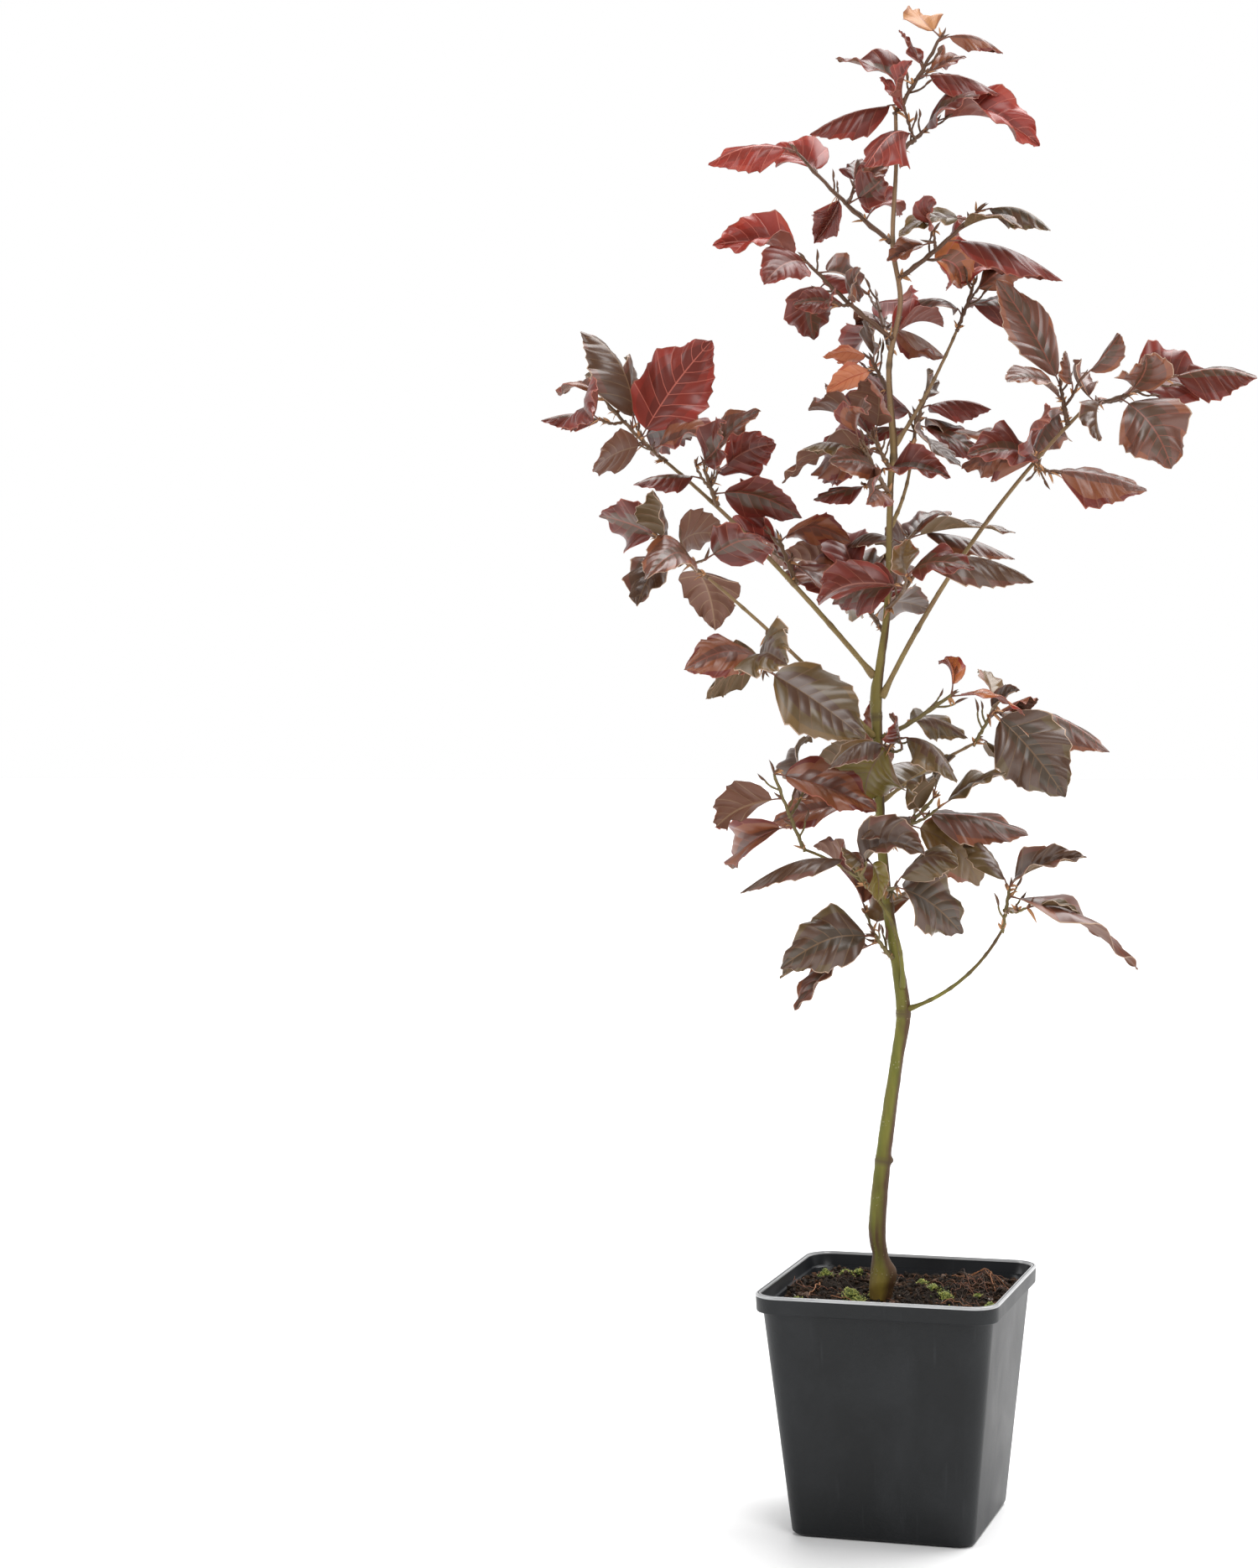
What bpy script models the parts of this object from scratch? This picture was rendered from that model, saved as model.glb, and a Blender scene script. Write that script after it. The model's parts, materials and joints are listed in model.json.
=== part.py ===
"""A young copper beech in its square nursery pot, as closed solids.

Metres, +Z up. The origin is the middle of the pot's flat underside, and the pot's sides lie along X and Y.
The plant is described in millimetres and in its own directions: across its broad side, back, and up from the
pot's underside. Limbs are tapering tubes along curves. Each foliage mass is a stem with leaves and leafy side
twigs, grown by one seeded rule that keeps only what stays clear of every limb and of every other mass.
"""

import math
import random
from dataclasses import dataclass

import bmesh
import bpy
from mathutils import Matrix, Vector
from mathutils.bvhtree import BVHTree

MM = 0.001
GAP = 0.3 * MM  # between pieces that meet
BROAD_SIDE_TURN = math.radians(17.8)  # the plant's broad side, turned from the pot's front

# The pot, in mm
POT_HEIGHT = 90.0
RIM_WIDTH = 90.0
RIM_BAND = 6.6  # height of the band that stands proud under the rim
RIM_EDGE = 0.5  # rounding of the rim's edges
MOUTH_WIDTH = 87.0
BODY_TOP_WIDTH = 85.2
FOOT_WIDTH = 68.0
FOOT_EDGE = 1.5
WALL = 1.2
FLOOR = 1.6
LEDGE_DEPTH = 5.2  # of the inner step that stacked pots rest on
POT_CORNER = 9.5  # radius at the rim
CORNER_TIGHTENS = 1 / 6  # loss of corner radius for each mm of width
CORNER_STEPS = 4
DRAIN_DIAMETER = 8.0
DRAIN_FROM_MIDDLE = 19.0
DRAIN_SIDES = 12

# The soil, in mm
SOIL_LEVEL = 82.0  # at the trunk
SOIL_HEAP = 1.6  # rise and fall of its surface away from the trunk
SOIL_RINGS = 5
TRUNK_SEAT = 8.0  # radius round the trunk that is level

# Trunk and leader: across, back, up, diameter, in mm
TRUNK = (
    (-7.3, 0.0, 82.3, 9.0),
    (-6.2, 0.0, 91.0, 9.7),
    (-7.0, 0.0, 99.0, 7.8),
    (-7.7, 0.3, 110.0, 6.6),
    (-5.3, 0.5, 134.0, 5.8),
    (-2.6, 0.0, 154.0, 5.2),
    (0.3, -0.8, 173.0, 4.7),
    (2.6, -1.0, 189.0, 5.3),
    (0.6, -0.6, 207.0, 4.5),
    (-2.3, 0.4, 226.0, 4.3),
    (-4.8, 1.2, 255.0, 4.1),
    (-5.8, 0.6, 289.0, 4.4),
    (-6.4, 0.0, 306.0, 5.2),
    (-4.6, 0.2, 319.0, 3.8),
    (-1.6, 1.0, 342.0, 3.1),
    (-0.3, 1.2, 384.0, 2.9),
    (1.0, 0.6, 397.0, 3.3),
    (-0.5, 0.0, 427.0, 2.5),
    (3.8, -0.6, 451.0, 2.3),
    (1.2, -0.2, 472.0, 2.1),
    (2.7, 0.4, 500.0, 1.8),
    (2.7, 0.0, 519.7, 1.6),
)
TRUNK_SIDES = 10
BOUGH_SIDES = 7
STEM_SIDES = 5
TWIG_SIDES = 3
FOOT_SPAN = 4.0  # how far along the bark a limb's foot reaches each way, mm
STEPS_PER_KNOT = 1
STEPS_PER_BOUGH = 6
STEPS_PER_STEM = 3

# Leaves, in mm
PETIOLE = 4.5
PETIOLE_THICK = 1.0
LEAF_THICK = 0.8  # along the midrib, thinning to the edges
WIDTH_SHARE = (0.52, 0.66)  # width of a leaf as a share of its blade's length
BLADE_STEPS = (0.0, 0.26, 0.68)  # cross-sections along the blade
MOST_DEPTH = 24.0  # how far a leaf of the broad side reaches to the front or the back
STEM_THICK = 1.9
STEM_TIP_THICK = 1.2
TWIG_THICK = 1.2
TWIG_LENGTH = (10.0, 18.0)
TWIG_LEAVES = 2
ARCH = (0.03, 0.2)  # rise of the midrib as a share of its length
TWIST = (-0.7, 0.7)  # turn of the blade from its foot to its tip, in radians
FOLD = (0.15, 0.5)  # lift of the blade's edges as a share of its half width
SHOWN = (0.35, 0.9)  # share of the blade's width that faces the broad side
TRIES = 14  # turns and tilts tried before a leaf is left out

# Shortest and longest leaf of a mass, in mm
YOUNG_LEAVES = (16.0, 22.0)
TIP_LEAVES = (16.0, 26.0)
MIXED_LEAVES = (14.0, 28.0)
UPPER_LEAVES = (26.0, 34.0)
USUAL_LEAVES = (30.0, 38.0)
OUTER_LEAVES = (30.0, 40.0)
LONG_LEAVES = (32.0, 40.0)
LONGEST_LEAVES = (34.0, 42.0)

SOIL_COLOUR = (0.030, 0.021, 0.015)
POT_COLOUR = (0.022, 0.025, 0.030)
BARK_COLOUR = (0.125, 0.120, 0.040)
TOP_LEAF_COLOUR = (0.180, 0.020, 0.026)
MIDDLE_LEAF_COLOUR = (0.085, 0.030, 0.026)
LOW_LEAF_COLOUR = (0.110, 0.060, 0.022)


@dataclass(frozen=True)
class Bough:
    """One tapering limb, on a curve from its parent to its end. Sizes in mm."""

    name: str
    parent: str
    height: float  # where it leaves its parent
    end: tuple  # across, back, up
    bow: tuple  # how far the middle stands off the straight line
    thick: float
    thin: float


@dataclass(frozen=True)
class Spray:
    """One foliage mass. A height of None puts it on its limb's tip."""

    name: str
    limb: str
    height: float
    reach: tuple  # from the stem's foot to its tip: across, back, up, in mm
    leaves: tuple  # share of the stem, bearing in degrees and length in mm, seen on the broad side
    twigs: int  # side twigs, each with TWIG_LEAVES leaves
    facing: int = 0  # the side that they grow to: -1 front, 1 back, 0 by turns
    leaf_length: tuple = USUAL_LEAVES


BOUGHS = (
    Bough("bough_left_high", "trunk", 312, (-83, 18, 395), (-2, 2, 6), 2.8, 1.7),
    Bough("bough_left_low", "trunk", 290, (-69, -18, 351), (0, -3, 2), 2.3, 1.5),
    Bough("bough_right", "trunk", 302, (70, -14, 411), (-3, -2, 6), 2.7, 1.6),
    Bough("bough_right_top", "trunk", 398, (26, 13, 442), (1, 2, -1), 2.1, 1.4),
    Bough("bough_right_foot", "trunk", 190, (37, -20, 221), (3, -2, -3), 2.0, 1.4),
    Bough("bough_right_middle", "trunk", 267, (31, 14, 288), (0, 2, 1), 1.9, 1.4),
    Bough("bough_left_foot", "trunk", 193, (-34, -14, 251), (9, -5, 8), 2.1, 1.4),
    Bough("bough_right_inner", "trunk", 368, (9, 14, 399), (2, 3, 0), 2.0, 1.4),
)

SPRAYS = (
    Spray(
        "foliage_tip", "trunk", None, (17, 3, 28),
        ((1.0, 115, 13), (0.95, -10, 24), (0.6, 120, 17), (0.4, 160, 28), (0.5, -5, 30), (0.12, -170, 34)),
        1, 1, TIP_LEAVES,
    ),
    Spray(
        "foliage_top_right", "trunk", 505, (14, 6, 12),
        ((1.0, -10, 40), (0.5, -155, 20), (0.7, 35, 24)),
        1, -1,
    ),
    Spray(
        "foliage_top_left", "trunk", 472, (-34, 14, 36),
        ((1.0, -175, 33), (0.78, 140, 21), (0.55, -120, 15), (0.45, 40, 15), (0.25, 25, 16)),
        1, 1, UPPER_LEAVES,
    ),
    Spray(
        "foliage_upper_right", "trunk", 459, (28, -9, 23),
        ((0.9, -175, 27), (1.0, -15, 26), (0.7, 0, 22), (0.3, -25, 18), (0.6, -15, 44)),
        1, -1, UPPER_LEAVES,
    ),
    Spray(
        "foliage_upper_left", "trunk", 437, (-33, -14, 28),
        ((1.0, 170, 34), (0.93, -155, 20), (0.85, -20, 18), (0.75, -100, 18), (0.45, 75, 14)),
        1, -1, UPPER_LEAVES,
    ),
    Spray(
        "foliage_right_top", "bough_right_top", None, (6, -1, 16),
        ((0.9, 40, 20), (1.0, 125, 16), (0.3, 160, 24), (0.5, 10, 26)),
        1, 1,
    ),
    Spray(
        "foliage_right_spur", "bough_right", 404, (-3, -3, 14),
        ((1.0, 120, 46), (0.6, 165, 24), (0.3, -120, 18)),
        1, -1,
    ),
    Spray(
        "foliage_right_far", "bough_right", None, (28, -2, 9),
        ((0.6, 20, 30), (1.0, 5, 33), (0.4, -55, 32), (0.2, -105, 18), (0.12, 100, 18), (0.5, 80, 14)),
        1, 1,
    ),
    Spray(
        "foliage_right_outer", "bough_right", 391, (3, -14, -4),
        ((1.0, -10, 36), (0.5, 170, 27), (0.7, 155, 35)),
        1, -1,
    ),
    Spray(
        "foliage_right_inner", "bough_right_inner", None, (4, 4, 16),
        ((0.9, 10, 28), (0.7, -10, 24), (0.45, -45, 20), (1.0, 80, 20), (0.35, 180, 20)),
        1, 1,
    ),
    Spray(
        "foliage_right_near", "trunk", 358, (12, 24, 10),
        ((1.0, -10, 38), (0.75, 5, 40), (0.5, 165, 20)),
        1, 1,
    ),
    Spray(
        "foliage_front_middle", "trunk", 338, (9, -26, 14),
        ((1.0, 0, 42), (0.8, 95, 16), (0.6, -170, 26)),
        1, -1,
    ),
    Spray(
        "foliage_left_far", "bough_left_high", None, (-22, 4, 23),
        ((0.55, 115, 44), (0.4, 60, 46), (1.0, 165, 18), (0.3, -155, 22), (0.2, 10, 26), (0.8, 80, 24)),
        2, 0, OUTER_LEAVES,
    ),
    Spray(
        "foliage_left_high", "bough_left_high", 377, (-5, -6, 14),
        ((0.9, 50, 32), (0.6, 30, 28), (0.3, -15, 34)),
        1, -1,
    ),
    Spray(
        "foliage_left_inner", "bough_left_high", 346, (-7, 8, 20),
        ((0.9, 10, 28), (0.45, -30, 32), (0.8, 170, 26)),
        1, 1,
    ),
    Spray(
        "foliage_left_low", "bough_left_low", None, (-17, -3, 14),
        ((0.4, -140, 24), (0.6, 25, 22), (1.0, 155, 24), (0.25, -70, 24), (0.8, 105, 22)),
        1, -1,
    ),
    Spray(
        "foliage_left_under", "bough_left_low", 331, (-2, -8, -14),
        ((1.0, -35, 44), (0.6, -160, 24)),
        1, -1,
    ),
    Spray(
        "foliage_inner_left", "trunk", 389, (-7, -7, 12),
        ((0.9, 145, 28), (0.6, -175, 24), (0.45, -165, 38), (1.0, 100, 22)),
        1, 1,
    ),
    Spray(
        "foliage_young", "trunk", 417, (-6, 10, 14),
        ((1.0, 170, 18), (0.7, -160, 20), (0.9, 100, 17)),
        1, 1, YOUNG_LEAVES,
    ),
    Spray(
        "foliage_right_middle", "bough_right_middle", None, (7, 0, 12),
        ((1.0, -50, 42), (0.9, -15, 46), (0.8, 40, 18), (0.2, -30, 28)),
        1, 1, LONGEST_LEAVES,
    ),
    Spray(
        "foliage_right_low", "trunk", 250, (18, -10, 19),
        ((0.7, -5, 40), (0.6, -175, 22), (0.45, -40, 36), (1.0, 55, 24)),
        1, -1, LONG_LEAVES,
    ),
    Spray(
        "foliage_right_small", "trunk", 290, (26, -13, 17),
        ((1.0, 110, 14), (0.95, 0, 28), (0.35, -10, 24)),
        0, 0, MIXED_LEAVES,
    ),
    Spray(
        "foliage_right_foot", "bough_right_foot", None, (3, 0, 16),
        ((1.0, 25, 28), (0.9, 125, 26), (0.8, -25, 52)),
        1, -1, LONG_LEAVES,
    ),
    Spray(
        "foliage_left_end", "bough_left_foot", None, (-11, 0, 28),
        ((1.0, -20, 40), (0.7, -165, 26), (0.35, -140, 26)),
        1, 1, LONG_LEAVES,
    ),
    Spray(
        "foliage_left_foot", "bough_left_foot", 236, (-6, -8, 11),
        ((1.0, -170, 42), (0.6, 25, 24)),
        1, -1, LONG_LEAVES,
    ),
    Spray(
        "foliage_low", "trunk", 207, (-9, -6, 12),
        ((1.0, -155, 38), (0.9, -168, 36), (0.7, -142, 40)),
        1, 1, LONG_LEAVES,
    ),
    Spray(
        "foliage_centre", "trunk", 284, (5, -19, 7),
        ((0.9, -110, 26), (1.0, -35, 24), (0.5, -170, 24)),
        1, -1, LONG_LEAVES,
    ),
    Spray(
        "foliage_centre_low", "trunk", 235, (2, -16, 2),
        ((1.0, -35, 32), (0.8, 35, 26)),
        0, 0, LONG_LEAVES,
    ),
    Spray("foliage_back_low", "trunk", 262, (-7, 30, 16), (), 4, 1, LONG_LEAVES),
    Spray("foliage_back_middle", "trunk", 330, (-10, 34, 22), (), 4, 1),
    Spray("foliage_back_high", "trunk", 432, (-3, 28, 24), (), 3, 1, UPPER_LEAVES),
    Spray("foliage_front_high", "trunk", 380, (-12, -28, 18), (), 3, -1, UPPER_LEAVES),
)

TOP_FOLIAGE_FROM = 400.0  # heights at which the foliage's colour changes, mm
LOW_FOLIAGE_BELOW = 300.0

ACROSS = Vector((math.cos(BROAD_SIDE_TURN), math.sin(BROAD_SIDE_TURN), 0.0))
BACK = Vector((-math.sin(BROAD_SIDE_TURN), math.cos(BROAD_SIDE_TURN), 0.0))
UP = Vector((0.0, 0.0, 1.0))


def plant(across, back, up):
    """A place or a way in the plant's directions, in mm, as a vector in metres."""
    return (ACROSS * across + BACK * back + UP * up) * MM


def along(knots, steps):
    """Points of a smooth curve through the knots, with the given steps from knot to knot."""
    points = []
    last = len(knots) - 1
    for i in range(last):
        before, a, b, after = knots[max(i - 1, 0)], knots[i], knots[i + 1], knots[min(i + 2, last)]
        for step in range(steps):
            t = step / steps
            bend = (a - b) * 3 + after - before
            curve = (before * 2 - a * 5 + b * 4 - after) * t * t + bend * t * t * t
            points.append(a + ((b - before) * t + curve) * 0.5)
    points.append(knots[last])
    return points


def bent(start, control, end, steps):
    """Points of a curve from start to end that leans to its control point."""
    return [
        start.lerp(control, i / steps).lerp(control.lerp(end, i / steps), i / steps) for i in range(steps + 1)
    ]


# ---------------------------------------------------------------------------------------------- shapes


@dataclass
class Limb:
    """A tapering tube: its axis, its radii, and the plane that its foot is cut to."""

    points: list
    radii: list
    cut: tuple = None

    def at_height(self, height):
        """The axis point, direction and radius where the axis first passes a height in mm."""
        level = height * MM
        for a, b, ra, rb in zip(self.points, self.points[1:], self.radii, self.radii[1:]):
            if min(a.z, b.z) <= level <= max(a.z, b.z) and a.z != b.z:
                share = (level - a.z) / (b.z - a.z)
                return a.lerp(b, share), (b - a).normalized(), ra + (rb - ra) * share
        raise ValueError(f"no axis point at {height} mm")

    def at_share(self, share):
        """The axis point and direction at a share of the axis's points."""
        place = min(share, 0.999) * (len(self.points) - 1)
        i = int(place)
        a, b = self.points[i], self.points[i + 1]
        return a.lerp(b, place - i), (b - a).normalized()


def foot(limb, height, toward):
    """Where a limb that leaves another starts, and the plane of its cut, GAP clear of the bark."""
    if height is None:
        tip, ahead = limb.points[-1], (limb.points[-1] - limb.points[-2]).normalized()
        start = tip + ahead * GAP
        return start, (start, ahead)
    centre, axis, radius = limb.at_height(height)
    away = toward - centre
    out = (away - axis * away.dot(axis)).normalized()
    widest = max(limb.at_height(height + way * FOOT_SPAN)[2] for way in (-1, 1))
    clear = max(radius, widest) + GAP
    start = centre + away.normalized() * (clear / out.dot(away.normalized()))
    return start, (centre + out * clear, out)


def tube_rings(limb, sides):
    """Rings of points round a limb's axis, the first one slid along the limb onto its cut."""
    rings = []
    side = None
    last = len(limb.points) - 1
    for i, (point, radius) in enumerate(zip(limb.points, limb.radii)):
        ahead = (limb.points[min(i + 1, last)] - limb.points[max(i - 1, 0)]).normalized()
        side = ahead.orthogonal() if side is None else side
        side = (side - ahead * side.dot(ahead)).normalized()
        other = ahead.cross(side)
        turns = [2 * math.pi * k / sides for k in range(sides)]
        ring = [point + (side * math.cos(turn) + other * math.sin(turn)) * radius for turn in turns]
        if i == 0 and limb.cut:
            place, normal = limb.cut
            ring = [p + ahead * ((place - p).dot(normal) / ahead.dot(normal)) for p in ring]
        rings.append(ring)
    return rings


def loft(rings, tip=None):
    """Points and faces of the closed solid through the rings, ending in a flat face or in a tip."""
    points = [p for ring in rings for p in ring]
    sides = len(rings[0])
    faces = [tuple(range(sides - 1, -1, -1))]
    for row in range(len(rings) - 1):
        for k in range(sides):
            a, b = row * sides + k, row * sides + (k + 1) % sides
            faces.append((a, b, b + sides, a + sides))
    end = (len(rings) - 1) * sides
    if tip is None:
        faces.append(tuple(range(end, end + sides)))
    else:
        points.append(tip)
        faces += [(end + k, end + (k + 1) % sides, len(points) - 1) for k in range(sides)]
    return points, faces


@dataclass(frozen=True)
class Leaf:
    """A leaf's midrib from its root to its tip, and how its blade is spread. Lengths in metres."""

    root: Vector
    control: Vector
    tip: Vector
    side: Vector
    twist: float
    width: float
    fold: float
    petiole: float  # share of the midrib before the blade

    def frame(self, t):
        """The midrib's point, the way across the blade and the way out of it, at a share of the length."""
        a, b = self.root.lerp(self.control, t), self.control.lerp(self.tip, t)
        ahead = (b - a).normalized()
        side = (self.side - ahead * self.side.dot(ahead)).normalized()
        side = Matrix.Rotation(self.twist * (t - 0.5), 3, ahead) @ side
        return a.lerp(b, t), side, ahead.cross(side)


def blade_half_width(leaf, s):
    """Half the blade's width at a share of its length: ovate, broadest below the middle."""
    return leaf.width / 2 * math.sin(math.pi * s**0.8) ** 0.85


def leaf_solid(leaf, spare=0.0, blade_only=False):
    """Points and faces of a leaf: a petiole and a blade folded along its midrib, grown by a spare width."""
    rings = []
    stalk = PETIOLE_THICK * MM / 2 + spare
    half_thick = LEAF_THICK * MM / 2 + spare
    if not blade_only:
        centre, side, out = leaf.frame(0.0)
        wide, high = side * stalk, out * stalk
        rings.append([centre - wide, centre + high, centre + wide, centre - high])
    for s in BLADE_STEPS:
        centre, side, out = leaf.frame(leaf.petiole + (1 - leaf.petiole) * s)
        half = max(blade_half_width(leaf, s), PETIOLE_THICK * MM / 2) + spare
        lift = out * ((half - stalk) * leaf.fold)
        left, right = centre - side * half + lift, centre + side * half + lift
        rings.append([left, centre + out * half_thick, right, centre - out * half_thick])
    return loft(rings, leaf.frame(1.0)[0])


# ---------------------------------------------------------------------------------------- growth rule


class Room:
    """What has grown so far, and the test that a new solid keeps clear of it."""

    def __init__(self):
        self.solids = []
        self.blades = []

    def add(self, owner, solid, blade=None):
        """Keep a solid, and a leaf's blade, which its own mass's later leaves also keep off."""
        self.solids.append((owner, BVHTree.FromPolygons(*solid)))
        if blade:
            self.blades.append((owner, BVHTree.FromPolygons(*blade)))

    def clear(self, owner, solid, blade=None):
        """Whether a solid cuts nothing of other owners, and a blade cuts no blade of its own mass."""
        tree = BVHTree.FromPolygons(*solid)
        if any(other != owner and tree.overlap(kept) for other, kept in self.solids):
            return False
        if blade is None:
            return True
        tree = BVHTree.FromPolygons(*blade)
        return not any(other == owner and tree.overlap(kept) for other, kept in self.blades)


def grow_bough(bough, limbs):
    """A bough's limb, from its parent's bark to its end."""
    end = plant(*bough.end)
    parent = limbs[bough.parent]
    start = parent.at_height(bough.height)[0]
    control = start.lerp(end, 0.5) + plant(*bough.bow) * 2
    start, cut = foot(parent, bough.height, start.lerp(control, 0.5))
    points = bent(start, control, end, STEPS_PER_BOUGH)
    thick, thin = bough.thick * MM / 2, bough.thin * MM / 2
    radii = [thick + (thin - thick) * i / STEPS_PER_BOUGH for i in range(STEPS_PER_BOUGH + 1)]
    return Limb(points, radii, cut)


def grow_stem(spray, limbs):
    """A mass's stem, bent a little upwards, from its limb to its own tip."""
    parent = limbs[spray.limb]
    base = parent.points[-1] if spray.height is None else parent.at_height(spray.height)[0]
    end = base + plant(*spray.reach)
    start, cut = foot(parent, spray.height, end)
    control = start.lerp(end, 0.5) - UP * (end - start).length * 0.06
    points = bent(start, control, end, STEPS_PER_STEM)
    thick = min(STEM_THICK * MM / 2, parent.radii[-1]) if spray.height is None else STEM_THICK * MM / 2
    thin = STEM_TIP_THICK * MM / 2
    radii = [thick + (thin - thick) * i / STEPS_PER_STEM for i in range(STEPS_PER_STEM + 1)]
    return Limb(points, radii, cut)


def spread_leaf(root, way, length, rng):
    """A leaf from a root along a way, with a seeded arch, twist, width and turn of its blade."""
    tip = root + way * length
    flat = way.cross(BACK)
    flat = flat.normalized() if flat.length > 0.2 else ACROSS
    deep = flat.cross(way).normalized()
    shown = rng.uniform(*SHOWN)
    side = flat * shown + deep * math.sqrt(1 - shown * shown) * rng.choice((-1, 1))
    out = way.cross(side)
    if out.z < 0:
        side, out = -side, -out
    arch = rng.uniform(*ARCH) * length
    petiole = min(PETIOLE * MM, length * 0.16)
    width = (length - petiole) * rng.uniform(*WIDTH_SHARE)
    control = root.lerp(tip, 0.45) + out * arch * 2
    twist, fold = rng.uniform(*TWIST), rng.uniform(*FOLD)
    return Leaf(root, control, tip, side, twist, width, fold, petiole / length)


def try_leaf(spray, room, root, aim, rng):
    """The first seeded leaf from a root that keeps clear, or None. aim(rng, attempt) gives way and length."""
    for attempt in range(TRIES):
        way, length = aim(rng, attempt)
        leaf = spread_leaf(root, way, length, rng)
        blade = leaf_solid(leaf, GAP / 2, blade_only=True)
        if room.clear(spray.name, leaf_solid(leaf, GAP), blade):
            room.add(spray.name, leaf_solid(leaf), blade)
            return leaf
    return None


def broad_side_aim(bearing, length, span):
    """An aim for a leaf seen on the broad side: what its length lacks there goes to the front or the back."""

    def aim(rng, attempt):
        turned = math.radians(bearing + rng.uniform(-1, 1) * 2 * attempt)
        natural = rng.uniform(*span)
        depth = math.sqrt(max(natural * natural - length * length, 0.0))
        depth = min(depth, MOST_DEPTH) * rng.choice((-1, 1))
        reach = plant(length * math.cos(turned), depth, length * math.sin(turned))
        return reach.normalized(), reach.length

    return aim


def free_aim(way, span, loose):
    """An aim for a leaf of a side twig: near a way, looser at each attempt."""

    def aim(rng, attempt):
        spread = loose * (1 + attempt * 0.25)
        turned = way + plant(*(rng.uniform(-spread, spread) for _ in range(3))) / MM
        return turned.normalized(), rng.uniform(*span) * MM

    return aim


def grow_twig(spray, room, stem, number, rng):
    """A side twig of a mass as a limb, or None where every try touches something."""
    share = (number + 0.7) / (spray.twigs + 0.5)
    root, ahead = stem.at_share(share)
    for attempt in range(TRIES):
        facing = spray.facing or (-1) ** number
        tilt = rng.uniform(-0.9, 0.9)
        way = BACK * facing + ACROSS * tilt + UP * rng.uniform(-0.3, 0.7) + ahead * 0.4
        end = root + way.normalized() * rng.uniform(*TWIG_LENGTH) * MM
        radius = TWIG_THICK * MM / 2
        middle = root.lerp(end, 0.5) - UP * MM
        twig = Limb([root, middle, end], [radius, radius * 0.9, radius * 0.75])
        wide = Limb(twig.points, [r + GAP for r in twig.radii])
        if room.clear(spray.name, loft(tube_rings(wide, TWIG_SIDES))):
            room.add(spray.name, loft(tube_rings(twig, TWIG_SIDES)))
            return twig
    return None


def grow_spray(spray, seed, stem, room):
    """The side twigs and leaves of one mass."""
    rng = random.Random(seed)
    twigs = [grow_twig(spray, room, stem, number, rng) for number in range(spray.twigs)]
    twigs = [twig for twig in twigs if twig]
    leaves = []
    for share, bearing, length in spray.leaves:
        root = stem.at_share(share)[0]
        leaves.append(try_leaf(spray, room, root, broad_side_aim(bearing, length, spray.leaf_length), rng))
    for twig in twigs:
        ahead = (twig.points[-1] - twig.points[0]).normalized()
        across = ahead.cross(UP).normalized()
        for number in range(TWIG_LEAVES):
            way = ahead + across * (0.9 if number % 2 else -0.5)
            root = twig.at_share(1.0 if number == 0 else 0.55)[0]
            leaves.append(try_leaf(spray, room, root, free_aim(way, spray.leaf_length, 0.35), rng))
    return twigs, [leaf for leaf in leaves if leaf]


def grow_plant():
    """Limbs by name, and for each mass its stem, side twigs and leaves."""
    knots = [Vector((*plant(across, back, up), thick * MM / 2)) for across, back, up, thick in TRUNK]
    path = along(knots, STEPS_PER_KNOT)
    limbs = {"trunk": Limb([knot.xyz for knot in path], [knot.w for knot in path], (path[0].xyz, UP))}
    for bough in BOUGHS:
        limbs[bough.name] = grow_bough(bough, limbs)
    room = Room()
    for name, limb in limbs.items():
        room.add(name, loft(tube_rings(limb, TRUNK_SIDES)))
    stems = {spray.name: grow_stem(spray, limbs) for spray in SPRAYS}
    for name, stem in stems.items():
        room.add(name, loft(tube_rings(stem, STEM_SIDES)))
    masses = {}
    for seed, spray in enumerate(SPRAYS):
        twigs, leaves = grow_spray(spray, seed, stems[spray.name], room)
        masses[spray.name] = (stems[spray.name], twigs, leaves)
    return limbs, masses


# --------------------------------------------------------------------------------------------- objects


def finish(name, colour, roughness):
    """A plain material."""
    material = bpy.data.materials.new(name)
    material.use_nodes = True
    shader = material.node_tree.nodes["Principled BSDF"]
    shader.inputs["Base Color"].default_value = (*colour, 1.0)
    shader.inputs["Roughness"].default_value = roughness
    return material


def solid_object(name, shape, collection, material=None):
    """An object with one closed solid, faces out."""
    bm = bmesh.new()
    points, faces = shape
    verts = [bm.verts.new(point) for point in points]
    for face in faces:
        bm.faces.new([verts[k] for k in face])
    bmesh.ops.recalc_face_normals(bm, faces=bm.faces)
    bmesh.ops.triangulate(bm, faces=bm.faces)
    mesh = bpy.data.meshes.new(name)
    bm.to_mesh(mesh)
    bm.free()
    if material:
        mesh.materials.append(material)
    made = bpy.data.objects.new(name, mesh)
    collection.objects.link(made)
    return made


def joined(base, others, operation):
    """Apply one Boolean of a collection of helpers to an object, and remove them."""
    modifier = base.modifiers.new("join", "BOOLEAN")
    modifier.operation = operation
    modifier.solver = "EXACT"
    modifier.operand_type = "COLLECTION"
    modifier.collection = others
    bpy.context.view_layer.update()
    result = base.evaluated_get(bpy.context.evaluated_depsgraph_get())
    mesh = bpy.data.meshes.new_from_object(result)
    base.modifiers.clear()
    base.data = mesh
    for helper in list(others.objects):
        bpy.data.objects.remove(helper)
    bpy.data.collections.remove(others)


def helpers():
    """A collection for shapes that are joined to an object or cut from it."""
    others = bpy.data.collections.new("helpers")
    bpy.context.scene.collection.children.link(others)
    return others


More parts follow.
